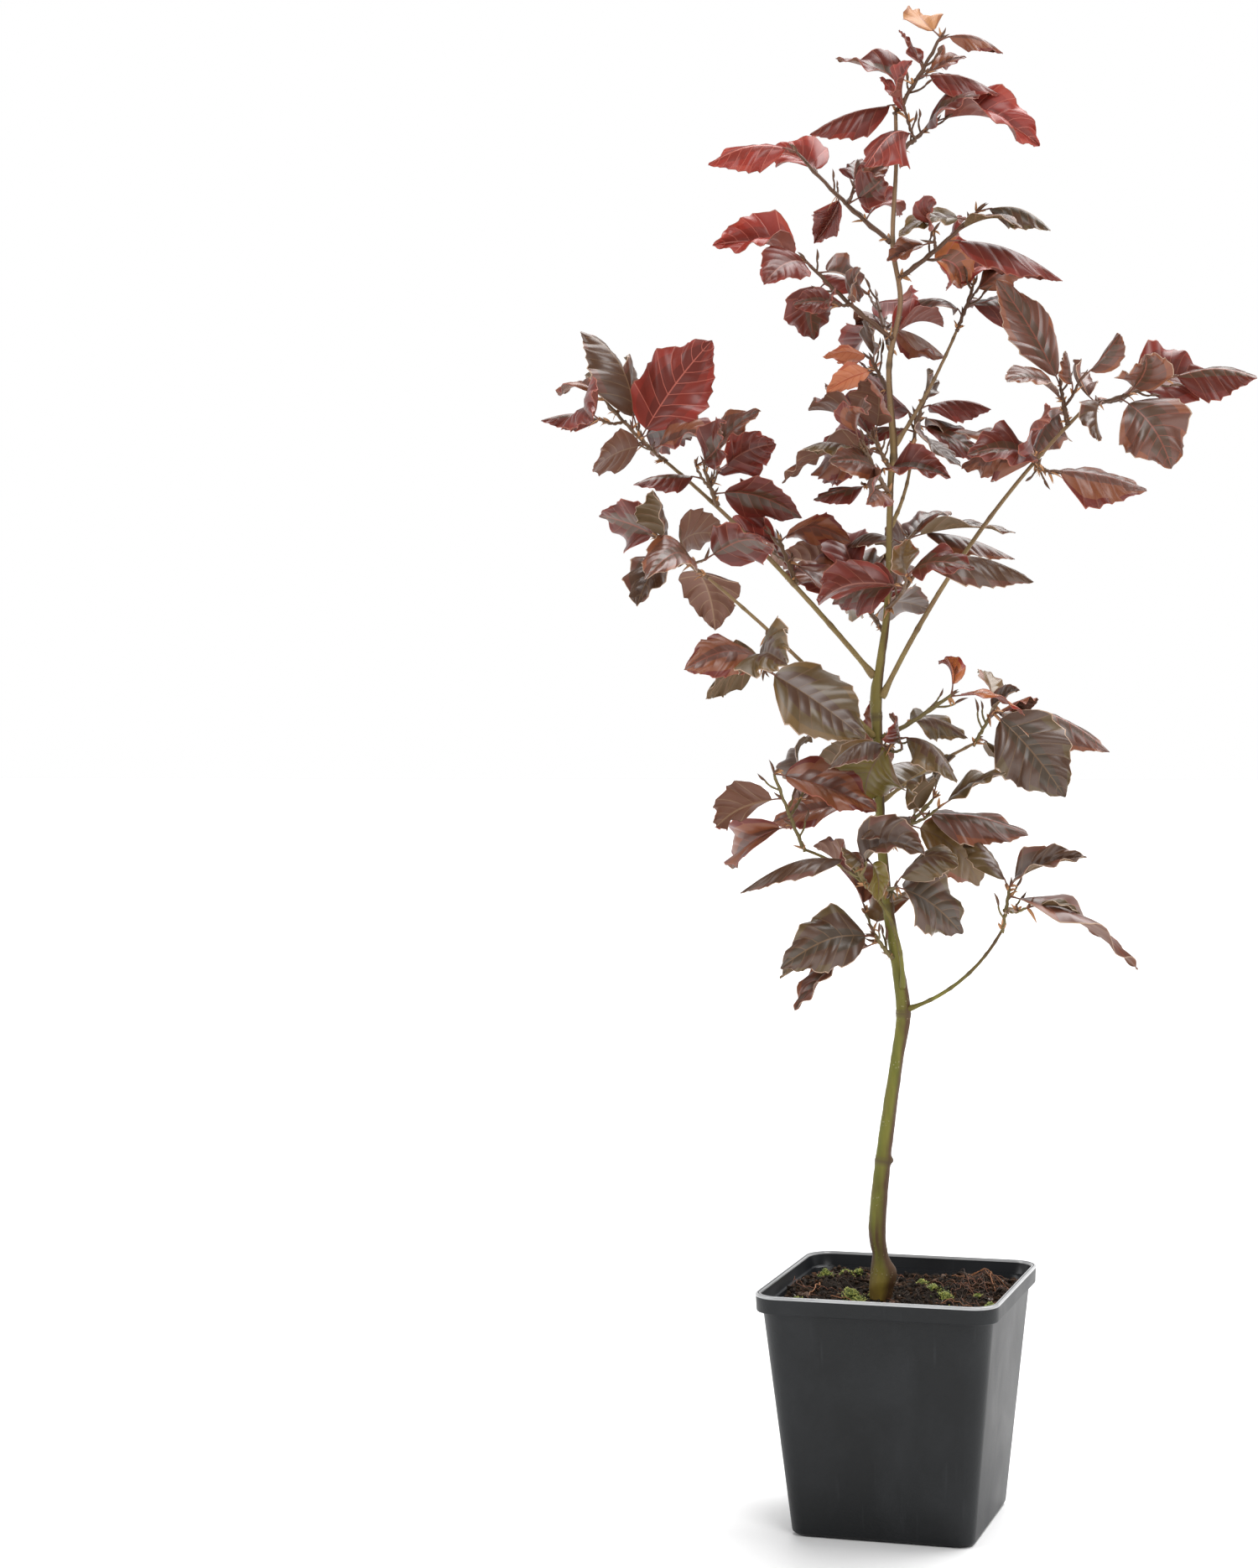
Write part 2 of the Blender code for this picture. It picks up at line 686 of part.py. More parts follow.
def rounded_square(width, height):
    """Points of a square with round corners, tighter on a narrower one, at a height, in metres."""
    ring = []
    corner = POT_CORNER - (RIM_WIDTH - width) * CORNER_TIGHTENS
    middle = width / 2 - corner
    for quarter in range(4):
        for step in range(CORNER_STEPS + 1):
            turn = math.pi / 2 * (quarter + step / CORNER_STEPS)
            quarter_turn = math.pi / 2 * (quarter + 0.5)
            x = math.copysign(middle, math.cos(quarter_turn)) + corner * math.cos(turn)
            y = math.copysign(middle, math.sin(quarter_turn)) + corner * math.sin(turn)
            ring.append(Vector((x, y, height)) * MM)
    return ring


def wall_width(height):
    """The pot body's outer width at a height, in mm."""
    return FOOT_WIDTH + (BODY_TOP_WIDTH - FOOT_WIDTH) * height / (POT_HEIGHT - RIM_BAND)


def build_pot(scene, material):
    """The pot: outer wall, rim band, mouth, inner ledge, inner wall and floor, with four drain holes."""
    band = POT_HEIGHT - RIM_BAND
    ledge = POT_HEIGHT - LEDGE_DEPTH
    profile = (
        (wall_width(0) - 2 * FOOT_EDGE, 0.0),
        (wall_width(FOOT_EDGE), FOOT_EDGE),
        (wall_width(band), band),
        (RIM_WIDTH - 2 * RIM_EDGE, band),
        (RIM_WIDTH, POT_HEIGHT - RIM_EDGE),
        (RIM_WIDTH - 2 * RIM_EDGE, POT_HEIGHT),
        (MOUTH_WIDTH, POT_HEIGHT),
        (MOUTH_WIDTH - 2 * RIM_EDGE, ledge),
        (wall_width(ledge) - 2 * WALL, ledge),
        (wall_width(FLOOR) - 2 * WALL, FLOOR),
    )
    rings = [rounded_square(width, height) for width, height in profile]
    pot = solid_object("pot", loft(rings), scene.collection, material)
    holes = helpers()
    for x_way in (-1, 1):
        for y_way in (-1, 1):
            middle = Vector((x_way, y_way, 0)) * DRAIN_FROM_MIDDLE * MM
            ends = [middle - UP * FLOOR * MM, middle + UP * 2 * FLOOR * MM]
            hole = Limb(ends, [DRAIN_DIAMETER / 2 * MM] * 2)
            solid_object("drain", loft(tube_rings(hole, DRAIN_SIDES)), holes)
    joined(pot, holes, "DIFFERENCE")


def soil_height(place):
    """The soil's surface at a place in metres: level at the trunk, uneven elsewhere."""
    x, y = place.x / MM, place.y / MM
    trunk_x, trunk_y = plant(*TRUNK[0][:3]).xy / MM
    away = math.hypot(x - trunk_x, y - trunk_y)
    heap = math.sin(x * 0.13 + 1.0) * math.cos(y * 0.11) + 0.5 * math.sin(x * 0.31 - y * 0.27)
    return SOIL_LEVEL + SOIL_HEAP * heap * min(max(away / TRUNK_SEAT - 1.0, 0.0), 1.0) ** 2


def build_soil(scene, material):
    """The soil that fills the pot, GAP clear of it, with an uneven surface that the trunk stands on."""
    clearance = 2 * (WALL + GAP / MM)
    bottom = rounded_square(wall_width(FLOOR) - clearance, FLOOR + GAP / MM)
    outer = rounded_square(wall_width(SOIL_LEVEL - SOIL_HEAP) - clearance, SOIL_LEVEL)
    middle = plant(*TRUNK[0][:2], SOIL_LEVEL)
    rings = [bottom]
    for ring in range(SOIL_RINGS):
        share = 1 - (ring / SOIL_RINGS) ** 1.2
        row = [middle.lerp(point, share) for point in outer]
        rings.append([Vector((p.x, p.y, soil_height(p) * MM)) for p in row])
    solid_object("soil", loft(rings, middle), scene.collection, material)


def foliage_finish(spray, limbs, finishes):
    """The finish of a mass, by its height on the plant."""
    parent = limbs[spray.limb]
    height = spray.height or parent.points[-1].z / MM
    if height > TOP_FOLIAGE_FROM:
        return finishes["leaves_top"]
    return finishes["leaves_low"] if height < LOW_FOLIAGE_BELOW else finishes["leaves_middle"]


def build_mass(scene, spray, mass, material):
    """One foliage mass: stem, side twigs and leaves joined into one solid."""
    stem, twigs, leaves = mass
    base = solid_object(spray.name, loft(tube_rings(stem, STEM_SIDES)), scene.collection, material)
    others = helpers()
    for twig in twigs:
        solid_object("twig", loft(tube_rings(twig, TWIG_SIDES)), others)
    for leaf in leaves:
        solid_object("leaf", leaf_solid(leaf), others)
    joined(base, others, "UNION")


def main():
    for old in list(bpy.data.objects):
        bpy.data.objects.remove(old)
    scene = bpy.context.scene
    finishes = {
        "pot": finish("pot", POT_COLOUR, 0.55),
        "soil": finish("soil", SOIL_COLOUR, 0.95),
        "bark": finish("bark", BARK_COLOUR, 0.6),
        "leaves_top": finish("leaves_top", TOP_LEAF_COLOUR, 0.45),
        "leaves_middle": finish("leaves_middle", MIDDLE_LEAF_COLOUR, 0.45),
        "leaves_low": finish("leaves_low", LOW_LEAF_COLOUR, 0.45),
    }
    build_pot(scene, finishes["pot"])
    build_soil(scene, finishes["soil"])
    limbs, masses = grow_plant()
    for name, limb in limbs.items():
        sides = TRUNK_SIDES if name == "trunk" else BOUGH_SIDES
        solid_object(name, loft(tube_rings(limb, sides)), scene.collection, finishes["bark"])
    for spray in SPRAYS:
        build_mass(scene, spray, masses[spray.name], foliage_finish(spray, limbs, finishes))


main()
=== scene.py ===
"""A young copper beech in its square nursery pot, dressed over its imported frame.

Metres, +Z up; the origin is the middle of the pot's flat underside. The plant is described in millimetres and
in its own directions: across its broad side, back, and up. The first part repeats the rule that grows the
frame's limbs and leaves, and the second part builds bark, twigs, blades, pot and compost on what has grown.
"""

import json
import logging
from dataclasses import dataclass, field
from enum import Enum
from math import atan2, copysign, cos, exp, hypot, pi, radians, sin, sqrt, tau
from random import Random

import bmesh
import bpy
import numpy as np
from mathutils import Matrix, Vector, noise
from mathutils.bvhtree import BVHTree

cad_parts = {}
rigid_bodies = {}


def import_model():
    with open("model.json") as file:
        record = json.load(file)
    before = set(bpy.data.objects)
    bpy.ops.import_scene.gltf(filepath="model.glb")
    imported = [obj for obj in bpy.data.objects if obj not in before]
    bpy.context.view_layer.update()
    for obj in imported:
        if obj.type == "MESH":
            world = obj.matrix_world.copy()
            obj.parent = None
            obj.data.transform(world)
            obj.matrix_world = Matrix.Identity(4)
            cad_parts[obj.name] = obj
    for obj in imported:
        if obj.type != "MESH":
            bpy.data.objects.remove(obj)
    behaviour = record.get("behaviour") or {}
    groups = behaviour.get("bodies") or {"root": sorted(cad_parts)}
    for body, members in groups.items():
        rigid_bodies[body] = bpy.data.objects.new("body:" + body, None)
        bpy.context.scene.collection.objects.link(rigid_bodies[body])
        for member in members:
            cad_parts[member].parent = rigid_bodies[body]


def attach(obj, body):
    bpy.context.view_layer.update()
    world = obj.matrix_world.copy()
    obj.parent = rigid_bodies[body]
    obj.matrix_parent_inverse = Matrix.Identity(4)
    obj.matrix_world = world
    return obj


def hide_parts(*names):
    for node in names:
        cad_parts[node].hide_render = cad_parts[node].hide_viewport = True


LOG = logging.getLogger("copper_beech")

MM = 0.001
GAP = 0.3 * MM  # between solids that meet
BODY = "root"
BROAD_SIDE_TURN = radians(17.8)  # the plant's broad side, turned from the pot's front
ACROSS = Vector((cos(BROAD_SIDE_TURN), sin(BROAD_SIDE_TURN), 0.0))
BACK = Vector((-sin(BROAD_SIDE_TURN), cos(BROAD_SIDE_TURN), 0.0))
UP = Vector((0.0, 0.0, 1.0))

Colour = tuple[float, float, float]
Knot = tuple[float, float, float]  # across, back and up, in mm
Triple = tuple[float, float, float]  # a place in metres, or a scale along each axis
Shape = tuple[list[Vector], list[tuple[int, ...]]]
Socket = bpy.types.NodeSocket
EVEN = (1.0, 1.0, 1.0)
SHEEN_TINT = (1.0, 0.86, 0.84, 1.0)

# ---- what the plant is

# Trunk and leader: across, back, up, diameter, in mm
TRUNK = (
    (-7.3, 0.0, 82.3, 9.0), (-6.2, 0.0, 91.0, 9.7), (-7.0, 0.0, 99.0, 7.8), (-7.7, 0.3, 110.0, 6.6),
    (-5.3, 0.5, 134.0, 5.8), (-2.6, 0.0, 154.0, 5.2), (0.3, -0.8, 173.0, 4.7), (2.6, -1.0, 189.0, 5.3),
    (0.6, -0.6, 207.0, 4.5), (-2.3, 0.4, 226.0, 4.3), (-4.8, 1.2, 255.0, 4.1), (-5.8, 0.6, 289.0, 4.4),
    (-6.4, 0.0, 306.0, 5.2), (-4.6, 0.2, 319.0, 3.8), (-1.6, 1.0, 342.0, 3.1), (-0.3, 1.2, 384.0, 2.9),
    (1.0, 0.6, 397.0, 3.3), (-0.5, 0.0, 427.0, 2.5), (3.8, -0.6, 451.0, 2.3), (1.2, -0.2, 472.0, 2.1),
    (2.7, 0.4, 500.0, 1.8), (2.7, 0.0, 519.7, 1.6),
)
TRUNK_SIDES = 10
STEM_SIDES = 5
TWIG_SIDES = 3
FOOT_SPAN = 4.0  # how far along the bark a limb's foot reaches each way, mm
STEPS_PER_BOUGH = 6
STEPS_PER_STEM = 3

# Leaves, in mm
PETIOLE = 4.5
PETIOLE_THICK = 1.0
LEAF_THICK = 0.8  # of the frame's solid leaf
WIDTH_SHARE = (0.52, 0.66)  # width of a leaf as a share of its blade's length
BLADE_STEPS = (0.0, 0.26, 0.68)  # cross-sections of the frame's solid leaf
MOST_DEPTH = 24.0  # how far a leaf of the broad side reaches to the front or the back
STEM_THICK = 1.9
STEM_TIP_THICK = 1.2
TWIG_THICK = 1.2
TWIG_LENGTH = (10.0, 18.0)
TWIG_LEAVES = 2
ARCH = (0.03, 0.2)  # rise of the midrib as a share of its length
TWIST = (-0.7, 0.7)  # turn of the blade from its foot to its tip, in radians
FOLD = (0.15, 0.5)  # lift of the blade's edges as a share of its half width
SHOWN = (0.35, 0.9)  # share of the blade's width that faces the broad side
TRIES = 14  # turns and tilts tried before a leaf is left out

# Shortest and longest leaf of a mass, in mm
YOUNG_LEAVES = (16.0, 22.0)
TIP_LEAVES = (16.0, 26.0)
MIXED_LEAVES = (14.0, 28.0)
UPPER_LEAVES = (26.0, 34.0)
USUAL_LEAVES = (30.0, 38.0)
OUTER_LEAVES = (30.0, 40.0)
LONG_LEAVES = (32.0, 40.0)
LONGEST_LEAVES = (34.0, 42.0)

TOP_FOLIAGE_FROM = 400.0  # heights at which the foliage's colour changes, mm
LOW_FOLIAGE_BELOW = 300.0


@dataclass(frozen=True)
class Bough:
    """One tapering limb, on a curve from its parent to its end. Sizes in mm."""

    name: str
    parent: str
    height: float  # where it leaves its parent
    end: Knot  # across, back, up
    bow: Knot  # how far the middle stands off the straight line
    thick: float
    thin: float


@dataclass(frozen=True)
class Spray:
    """One foliage mass, node foliage_ and its name. A height of None puts it on its limb's tip."""

    name: str
    limb: str
    height: float | None
    reach: Knot  # from the stem's foot to its tip: across, back, up, in mm
    leaves: tuple[Knot, ...]  # share of the stem, bearing in degrees, length in mm on the broad side
    twigs: int  # side twigs, each with TWIG_LEAVES leaves
    facing: int = 0  # the side that they grow to: -1 front, 1 back, 0 by turns
    leaf_length: tuple[float, float] = USUAL_LEAVES


BOUGHS = (
    Bough("bough_left_high", "trunk", 312, (-83, 18, 395), (-2, 2, 6), 2.8, 1.7),
    Bough("bough_left_low", "trunk", 290, (-69, -18, 351), (0, -3, 2), 2.3, 1.5),
    Bough("bough_right", "trunk", 302, (70, -14, 411), (-3, -2, 6), 2.7, 1.6),
    Bough("bough_right_top", "trunk", 398, (26, 13, 442), (1, 2, -1), 2.1, 1.4),
    Bough("bough_right_foot", "trunk", 190, (37, -20, 221), (3, -2, -3), 2.0, 1.4),
    Bough("bough_right_middle", "trunk", 267, (31, 14, 288), (0, 2, 1), 1.9, 1.4),
    Bough("bough_left_foot", "trunk", 193, (-34, -14, 251), (9, -5, 8), 2.1, 1.4),
    Bough("bough_right_inner", "trunk", 368, (9, 14, 399), (2, 3, 0), 2.0, 1.4),
)

SPRAYS = (
    Spray("tip", "trunk", None, (17, 3, 28), (
        (1.0, 115, 13), (0.95, -10, 24), (0.6, 120, 17), (0.4, 160, 28), (0.5, -5, 30), (0.12, -170, 34),
    ), 1, 1, TIP_LEAVES),
    Spray("top_right", "trunk", 505, (14, 6, 12), ((1.0, -10, 40), (0.5, -155, 20), (0.7, 35, 24)), 1, -1),
    Spray("top_left", "trunk", 472, (-34, 14, 36), (
        (1.0, -175, 33), (0.78, 140, 21), (0.55, -120, 15), (0.45, 40, 15), (0.25, 25, 16),
    ), 1, 1, UPPER_LEAVES),
    Spray("upper_right", "trunk", 459, (28, -9, 23), (
        (0.9, -175, 27), (1.0, -15, 26), (0.7, 0, 22), (0.3, -25, 18), (0.6, -15, 44),
    ), 1, -1, UPPER_LEAVES),
    Spray("upper_left", "trunk", 437, (-33, -14, 28), (
        (1.0, 170, 34), (0.93, -155, 20), (0.85, -20, 18), (0.75, -100, 18), (0.45, 75, 14),
    ), 1, -1, UPPER_LEAVES),
    Spray("right_top", "bough_right_top", None, (6, -1, 16), (
        (0.9, 40, 20), (1.0, 125, 16), (0.3, 160, 24), (0.5, 10, 26),
    ), 1, 1),
    Spray("right_spur", "bough_right", 404, (-3, -3, 14), (
        (1.0, 120, 46), (0.6, 165, 24), (0.3, -120, 18),
    ), 1, -1),
    Spray("right_far", "bough_right", None, (28, -2, 9), (
        (0.6, 20, 30), (1.0, 5, 33), (0.4, -55, 32), (0.2, -105, 18), (0.12, 100, 18), (0.5, 80, 14),
    ), 1, 1),
    Spray("right_outer", "bough_right", 391, (3, -14, -4), (
        (1.0, -10, 36), (0.5, 170, 27), (0.7, 155, 35),
    ), 1, -1),
    Spray("right_inner", "bough_right_inner", None, (4, 4, 16), (
        (0.9, 10, 28), (0.7, -10, 24), (0.45, -45, 20), (1.0, 80, 20), (0.35, 180, 20),
    ), 1, 1),
    Spray("right_near", "trunk", 358, (12, 24, 10), ((1.0, -10, 38), (0.75, 5, 40), (0.5, 165, 20)), 1, 1),
    Spray("front_middle", "trunk", 338, (9, -26, 14), ((1.0, 0, 42), (0.8, 95, 16), (0.6, -170, 26)), 1, -1),
    Spray("left_far", "bough_left_high", None, (-22, 4, 23), (
        (0.55, 115, 44), (0.4, 60, 46), (1.0, 165, 18), (0.3, -155, 22), (0.2, 10, 26), (0.8, 80, 24),
    ), 2, 0, OUTER_LEAVES),
    Spray("left_high", "bough_left_high", 377, (-5, -6, 14), (
        (0.9, 50, 32), (0.6, 30, 28), (0.3, -15, 34),
    ), 1, -1),
    Spray("left_inner", "bough_left_high", 346, (-7, 8, 20), (
        (0.9, 10, 28), (0.45, -30, 32), (0.8, 170, 26),
    ), 1, 1),
    Spray("left_low", "bough_left_low", None, (-17, -3, 14), (
        (0.4, -140, 24), (0.6, 25, 22), (1.0, 155, 24), (0.25, -70, 24), (0.8, 105, 22),
    ), 1, -1),
    Spray("left_under", "bough_left_low", 331, (-2, -8, -14), ((1.0, -35, 44), (0.6, -160, 24)), 1, -1),
    Spray("inner_left", "trunk", 389, (-7, -7, 12), (
        (0.9, 145, 28), (0.6, -175, 24), (0.45, -165, 38), (1.0, 100, 22),
    ), 1, 1),
    Spray("young", "trunk", 417, (-6, 10, 14), (
        (1.0, 170, 18), (0.7, -160, 20), (0.9, 100, 17),
    ), 1, 1, YOUNG_LEAVES),
    Spray("right_middle", "bough_right_middle", None, (7, 0, 12), (
        (1.0, -50, 42), (0.9, -15, 46), (0.8, 40, 18), (0.2, -30, 28),
    ), 1, 1, LONGEST_LEAVES),
    Spray("right_low", "trunk", 250, (18, -10, 19), (
        (0.7, -5, 40), (0.6, -175, 22), (0.45, -40, 36), (1.0, 55, 24),
    ), 1, -1, LONG_LEAVES),
    Spray("right_small", "trunk", 290, (26, -13, 17), (
        (1.0, 110, 14), (0.95, 0, 28), (0.35, -10, 24),
    ), 0, 0, MIXED_LEAVES),
    Spray("right_foot", "bough_right_foot", None, (3, 0, 16), (
        (1.0, 25, 28), (0.9, 125, 26), (0.8, -25, 52),
    ), 1, -1, LONG_LEAVES),
    Spray("left_end", "bough_left_foot", None, (-11, 0, 28), (
        (1.0, -20, 40), (0.7, -165, 26), (0.35, -140, 26),
    ), 1, 1, LONG_LEAVES),
    Spray("left_foot", "bough_left_foot", 236, (-6, -8, 11), (
        (1.0, -170, 42), (0.6, 25, 24),
    ), 1, -1, LONG_LEAVES),
    Spray("low", "trunk", 207, (-9, -6, 12), (
        (1.0, -155, 38), (0.9, -168, 36), (0.7, -142, 40),
    ), 1, 1, LONG_LEAVES),
    Spray("centre", "trunk", 284, (5, -19, 7), (
        (0.9, -110, 26), (1.0, -35, 24), (0.5, -170, 24),
    ), 1, -1, LONG_LEAVES),
    Spray("centre_low", "trunk", 235, (2, -16, 2), ((1.0, -35, 32), (0.8, 35, 26)), 0, 0, LONG_LEAVES),
    Spray("back_low", "trunk", 262, (-7, 30, 16), (), 4, 1, LONG_LEAVES),
    Spray("back_middle", "trunk", 330, (-10, 34, 22), (), 4, 1),
    Spray("back_high", "trunk", 432, (-3, 28, 24), (), 3, 1, UPPER_LEAVES),
    Spray("front_high", "trunk", 380, (-12, -28, 18), (), 3, -1, UPPER_LEAVES),
)


def plant(across: float, back: float, up: float) -> Vector:
    """A place or a way in the plant's directions, in mm, as a vector in metres."""
    return (ACROSS * across + BACK * back + UP * up) * MM


def clamp(value: float) -> float:
    """A value held between 0 and 1."""
    return min(max(value, 0.0), 1.0)


def hump(far: float, width: float) -> float:
    """1 at the middle of a hump, and next to nothing two widths from it."""
    return exp(-((far / width) ** 2))


def shift(rng: Random, most: float) -> Vector:
    """A seeded shift, up to a size along each axis."""
    return Vector([rng.uniform(-most, most) for _ in range(3)])


def any_way(rng: Random) -> Vector:
    """A seeded vector that points anywhere."""
    return Vector([rng.gauss(0, 1) for _ in range(3)])


def along(knots: list[Vector], steps: int) -> list[Vector]:
    """A smooth curve through knots.

    Args:
        knots: The points that the curve passes.
        steps: Steps from one knot to the next.

    Returns:
        The curve's points, the last knot included.
    """
    points = []
    last = len(knots) - 1
    for i in range(last):
        before, a, b, after = knots[max(i - 1, 0)], knots[i], knots[i + 1], knots[min(i + 2, last)]
        for step in range(steps):
            t = step / steps
            bend = (a - b) * 3 + after - before
            curve = (before * 2 - a * 5 + b * 4 - after) * t * t + bend * t * t * t
            points.append(a + ((b - before) * t + curve) * 0.5)
    points.append(knots[last])
    return points


def bent(start: Vector, control: Vector, end: Vector, steps: int) -> list[Vector]:
    """Points of a curve from start to end that leans to its control point."""
    return [
        start.lerp(control, i / steps).lerp(control.lerp(end, i / steps), i / steps) for i in range(steps + 1)
    ]


@dataclass
class Limb:
    """A tapering tube: its axis, its radii, the plane its foot is cut to, and the curve it was drawn from."""

    points: list[Vector]
    radii: list[float]
    cut: tuple[Vector, Vector] | None = None
    curve: tuple[Vector, Vector, Vector] | None = None

    def at_height(self, height: float) -> tuple[Vector, Vector, float]:
        """Find where the axis first passes a height.

        Args:
            height: Height above the pot's underside, in mm.

        Returns:
            The axis point, the direction there and the radius.
        """
        level = height * MM
        for a, b, ra, rb in zip(self.points, self.points[1:], self.radii, self.radii[1:]):
            if min(a.z, b.z) <= level <= max(a.z, b.z) and a.z != b.z:
                share = (level - a.z) / (b.z - a.z)
                return a.lerp(b, share), (b - a).normalized(), ra + (rb - ra) * share
        raise ValueError(f"no axis point at {height} mm")

    def at_share(self, share: float) -> tuple[Vector, Vector]:
        """The axis point and direction at a share of the axis's points."""
        place = min(share, 0.999) * (len(self.points) - 1)
        i = int(place)
        a, b = self.points[i], self.points[i + 1]
        return a.lerp(b, place - i), (b - a).normalized()

    def fine(self, steps: int) -> tuple[list[Vector], list[float]]:
        """Draw the axis again with more points.

        Args:
            steps: Steps along a bent limb, or from knot to knot of any other.

        Returns:
            The axis points and the radius at each.
        """
        if self.curve:
            points = bent(*self.curve, steps)
        else:
            knots = [Vector((*point, radius)) for point, radius in zip(self.points, self.radii)]
            path = along(knots, steps)
            return [knot.xyz for knot in path], [knot.w for knot in path]
        last = len(self.radii) - 1
        radii = []
        for step in range(steps + 1):
            place = step / steps * last
            i = min(int(place), last - 1)
            radii.append(self.radii[i] + (self.radii[i + 1] - self.radii[i]) * (place - i))
        return points, radii


def tapering(
    curve: tuple[Vector, Vector, Vector], steps: int, thick: float, thin: float, cut: tuple[Vector, Vector]
) -> Limb:
    """A limb along a bent curve, from the radius at its foot to the radius at its tip."""
    radii = [thick + (thin - thick) * i / steps for i in range(steps + 1)]
    return Limb(bent(*curve, steps), radii, cut, curve)


def foot(limb: Limb, height: float | None, toward: Vector) -> tuple[Vector, tuple[Vector, Vector]]:
    """Find where a limb that leaves another starts.

    Args:
        limb: The parent.
        height: Where it leaves the parent, in mm, or None for the parent's tip.
        toward: A point that it heads for.

    Returns:
        Its first axis point, and the place and normal of its cut, GAP clear of the bark.
    """
    if height is None:
        tip, ahead = limb.points[-1], (limb.points[-1] - limb.points[-2]).normalized()
        start = tip + ahead * GAP
        return start, (start, ahead)
    centre, axis, radius = limb.at_height(height)
    away = toward - centre
    out = (away - axis * away.dot(axis)).normalized()
    widest = max(limb.at_height(height + way * FOOT_SPAN)[2] for way in (-1, 1))
    clear = max(radius, widest) + GAP
    start = centre + away.normalized() * (clear / out.dot(away.normalized()))
    return start, (centre + out * clear, out)


def path_frames(points: list[Vector]) -> list[tuple[Vector, Vector]]:
    """Two ways across a path at each of its points, turning as little as they can."""
    frames = []
    side = None
    last = len(points) - 1
    for i in range(len(points)):
        ahead = (points[min(i + 1, last)] - points[max(i - 1, 0)]).normalized()
        side = ahead.orthogonal() if side is None else side
        side = (side - ahead * side.dot(ahead)).normalized()
        frames.append((side, ahead.cross(side)))
    return frames


def tube_rings(limb: Limb, sides: int) -> list[list[Vector]]:
    """Rings of points round a limb's axis, the first one slid along the limb onto its cut."""
    turns = [tau * k / sides for k in range(sides)]
    rings = []
    for point, radius, (side, other) in zip(limb.points, limb.radii, path_frames(limb.points)):
        rings.append([point + (side * cos(turn) + other * sin(turn)) * radius for turn in turns])
    if limb.cut:
        place, normal = limb.cut
        ahead = (limb.points[1] - limb.points[0]).normalized()
        rings[0] = [p + ahead * ((place - p).dot(normal) / ahead.dot(normal)) for p in rings[0]]
    return rings


def loft(rings: list[list[Vector]], tip: Vector | None = None) -> Shape:
    """Points and faces of the closed solid through the rings, ending in a flat face or in a tip."""
    points = [p for ring in rings for p in ring]
    sides = len(rings[0])
    faces = [tuple(range(sides - 1, -1, -1))]
    for row in range(len(rings) - 1):
        for k in range(sides):
            a, b = row * sides + k, row * sides + (k + 1) % sides
            faces.append((a, b, b + sides, a + sides))
    end = (len(rings) - 1) * sides
    if tip is None:
        faces.append(tuple(range(end, end + sides)))
    else:
        points.append(tip)
        faces += [(end + k, end + (k + 1) % sides, len(points) - 1) for k in range(sides)]
    return points, faces


@dataclass(frozen=True)
class Leaf:
    """A leaf's midrib from its root to its tip, and how its blade is spread. Lengths in metres."""

    root: Vector
    control: Vector
    tip: Vector
    side: Vector
    twist: float
    width: float
    fold: float
    petiole: float  # share of the midrib before the blade

    def frame(self, t: float) -> tuple[Vector, Vector, Vector]:
        """The midrib's point, the way across the blade and the way out of it, at a share of the length."""
        a, b = self.root.lerp(self.control, t), self.control.lerp(self.tip, t)
        ahead = (b - a).normalized()
        side = (self.side - ahead * self.side.dot(ahead)).normalized()
        side = Matrix.Rotation(self.twist * (t - 0.5), 3, ahead) @ side
        return a.lerp(b, t), side, ahead.cross(side)

    def half_width(self, s: float) -> float:
        """Half the blade's width at a share of its length: ovate, broadest below the middle."""
        return self.width / 2 * sin(pi * s**0.8) ** 0.85

    def solid(self, spare: float = 0.0, blade_only: bool = False) -> Shape:
        """Make the frame's solid leaf, by which the rule judges what is clear.

        Args:
            spare: How much wider and thicker than the leaf.
            blade_only: Whether to leave out the petiole.

        Returns:
            Points and faces of the closed solid.
        """
        rings = []
        stalk = PETIOLE_THICK * MM / 2 + spare
        half_thick = LEAF_THICK * MM / 2 + spare
        if not blade_only:
            centre, side, out = self.frame(0.0)
            wide, high = side * stalk, out * stalk
            rings.append([centre - wide, centre + high, centre + wide, centre - high])
        for s in BLADE_STEPS:
            centre, side, out = self.frame(self.petiole + (1 - self.petiole) * s)
            half = max(self.half_width(s), PETIOLE_THICK * MM / 2) + spare
            lift = out * ((half - stalk) * self.fold)
            left, right = centre - side * half + lift, centre + side * half + lift
            rings.append([left, centre + out * half_thick, right, centre - out * half_thick])
        return loft(rings, self.frame(1.0)[0])


@dataclass
class Room:
    """What has grown so far, and the test that a new solid keeps clear of it."""

    solids: list[tuple[str, BVHTree]] = field(default_factory=list)
    blades: list[tuple[str, BVHTree]] = field(default_factory=list)

    def add(self, owner: str, solid: Shape, blade: Shape | None = None) -> None:
        """Keep a solid, and a leaf's blade, which its own mass's later leaves also keep off."""
        self.solids.append((owner, BVHTree.FromPolygons(*solid)))
        if blade:
            self.blades.append((owner, BVHTree.FromPolygons(*blade)))

    def clear(self, owner: str, solid: Shape, blade: Shape | None = None) -> bool:
        """Whether a solid cuts nothing of other owners, and a blade cuts no blade of its own mass."""
        tree = BVHTree.FromPolygons(*solid)
        if any(other != owner and tree.overlap(kept) for other, kept in self.solids):
            return False
        if blade is None:
            return True
        tree = BVHTree.FromPolygons(*blade)
        return not any(other == owner and tree.overlap(kept) for other, kept in self.blades)


@dataclass
class Mass:
    """What has grown of one foliage mass. Each leaf has its number in its spray, or -1 on a side twig."""

    stem: Limb
    twigs: list[Limb] = field(default_factory=list)
    leaves: list[tuple[int, Leaf]] = field(default_factory=list)


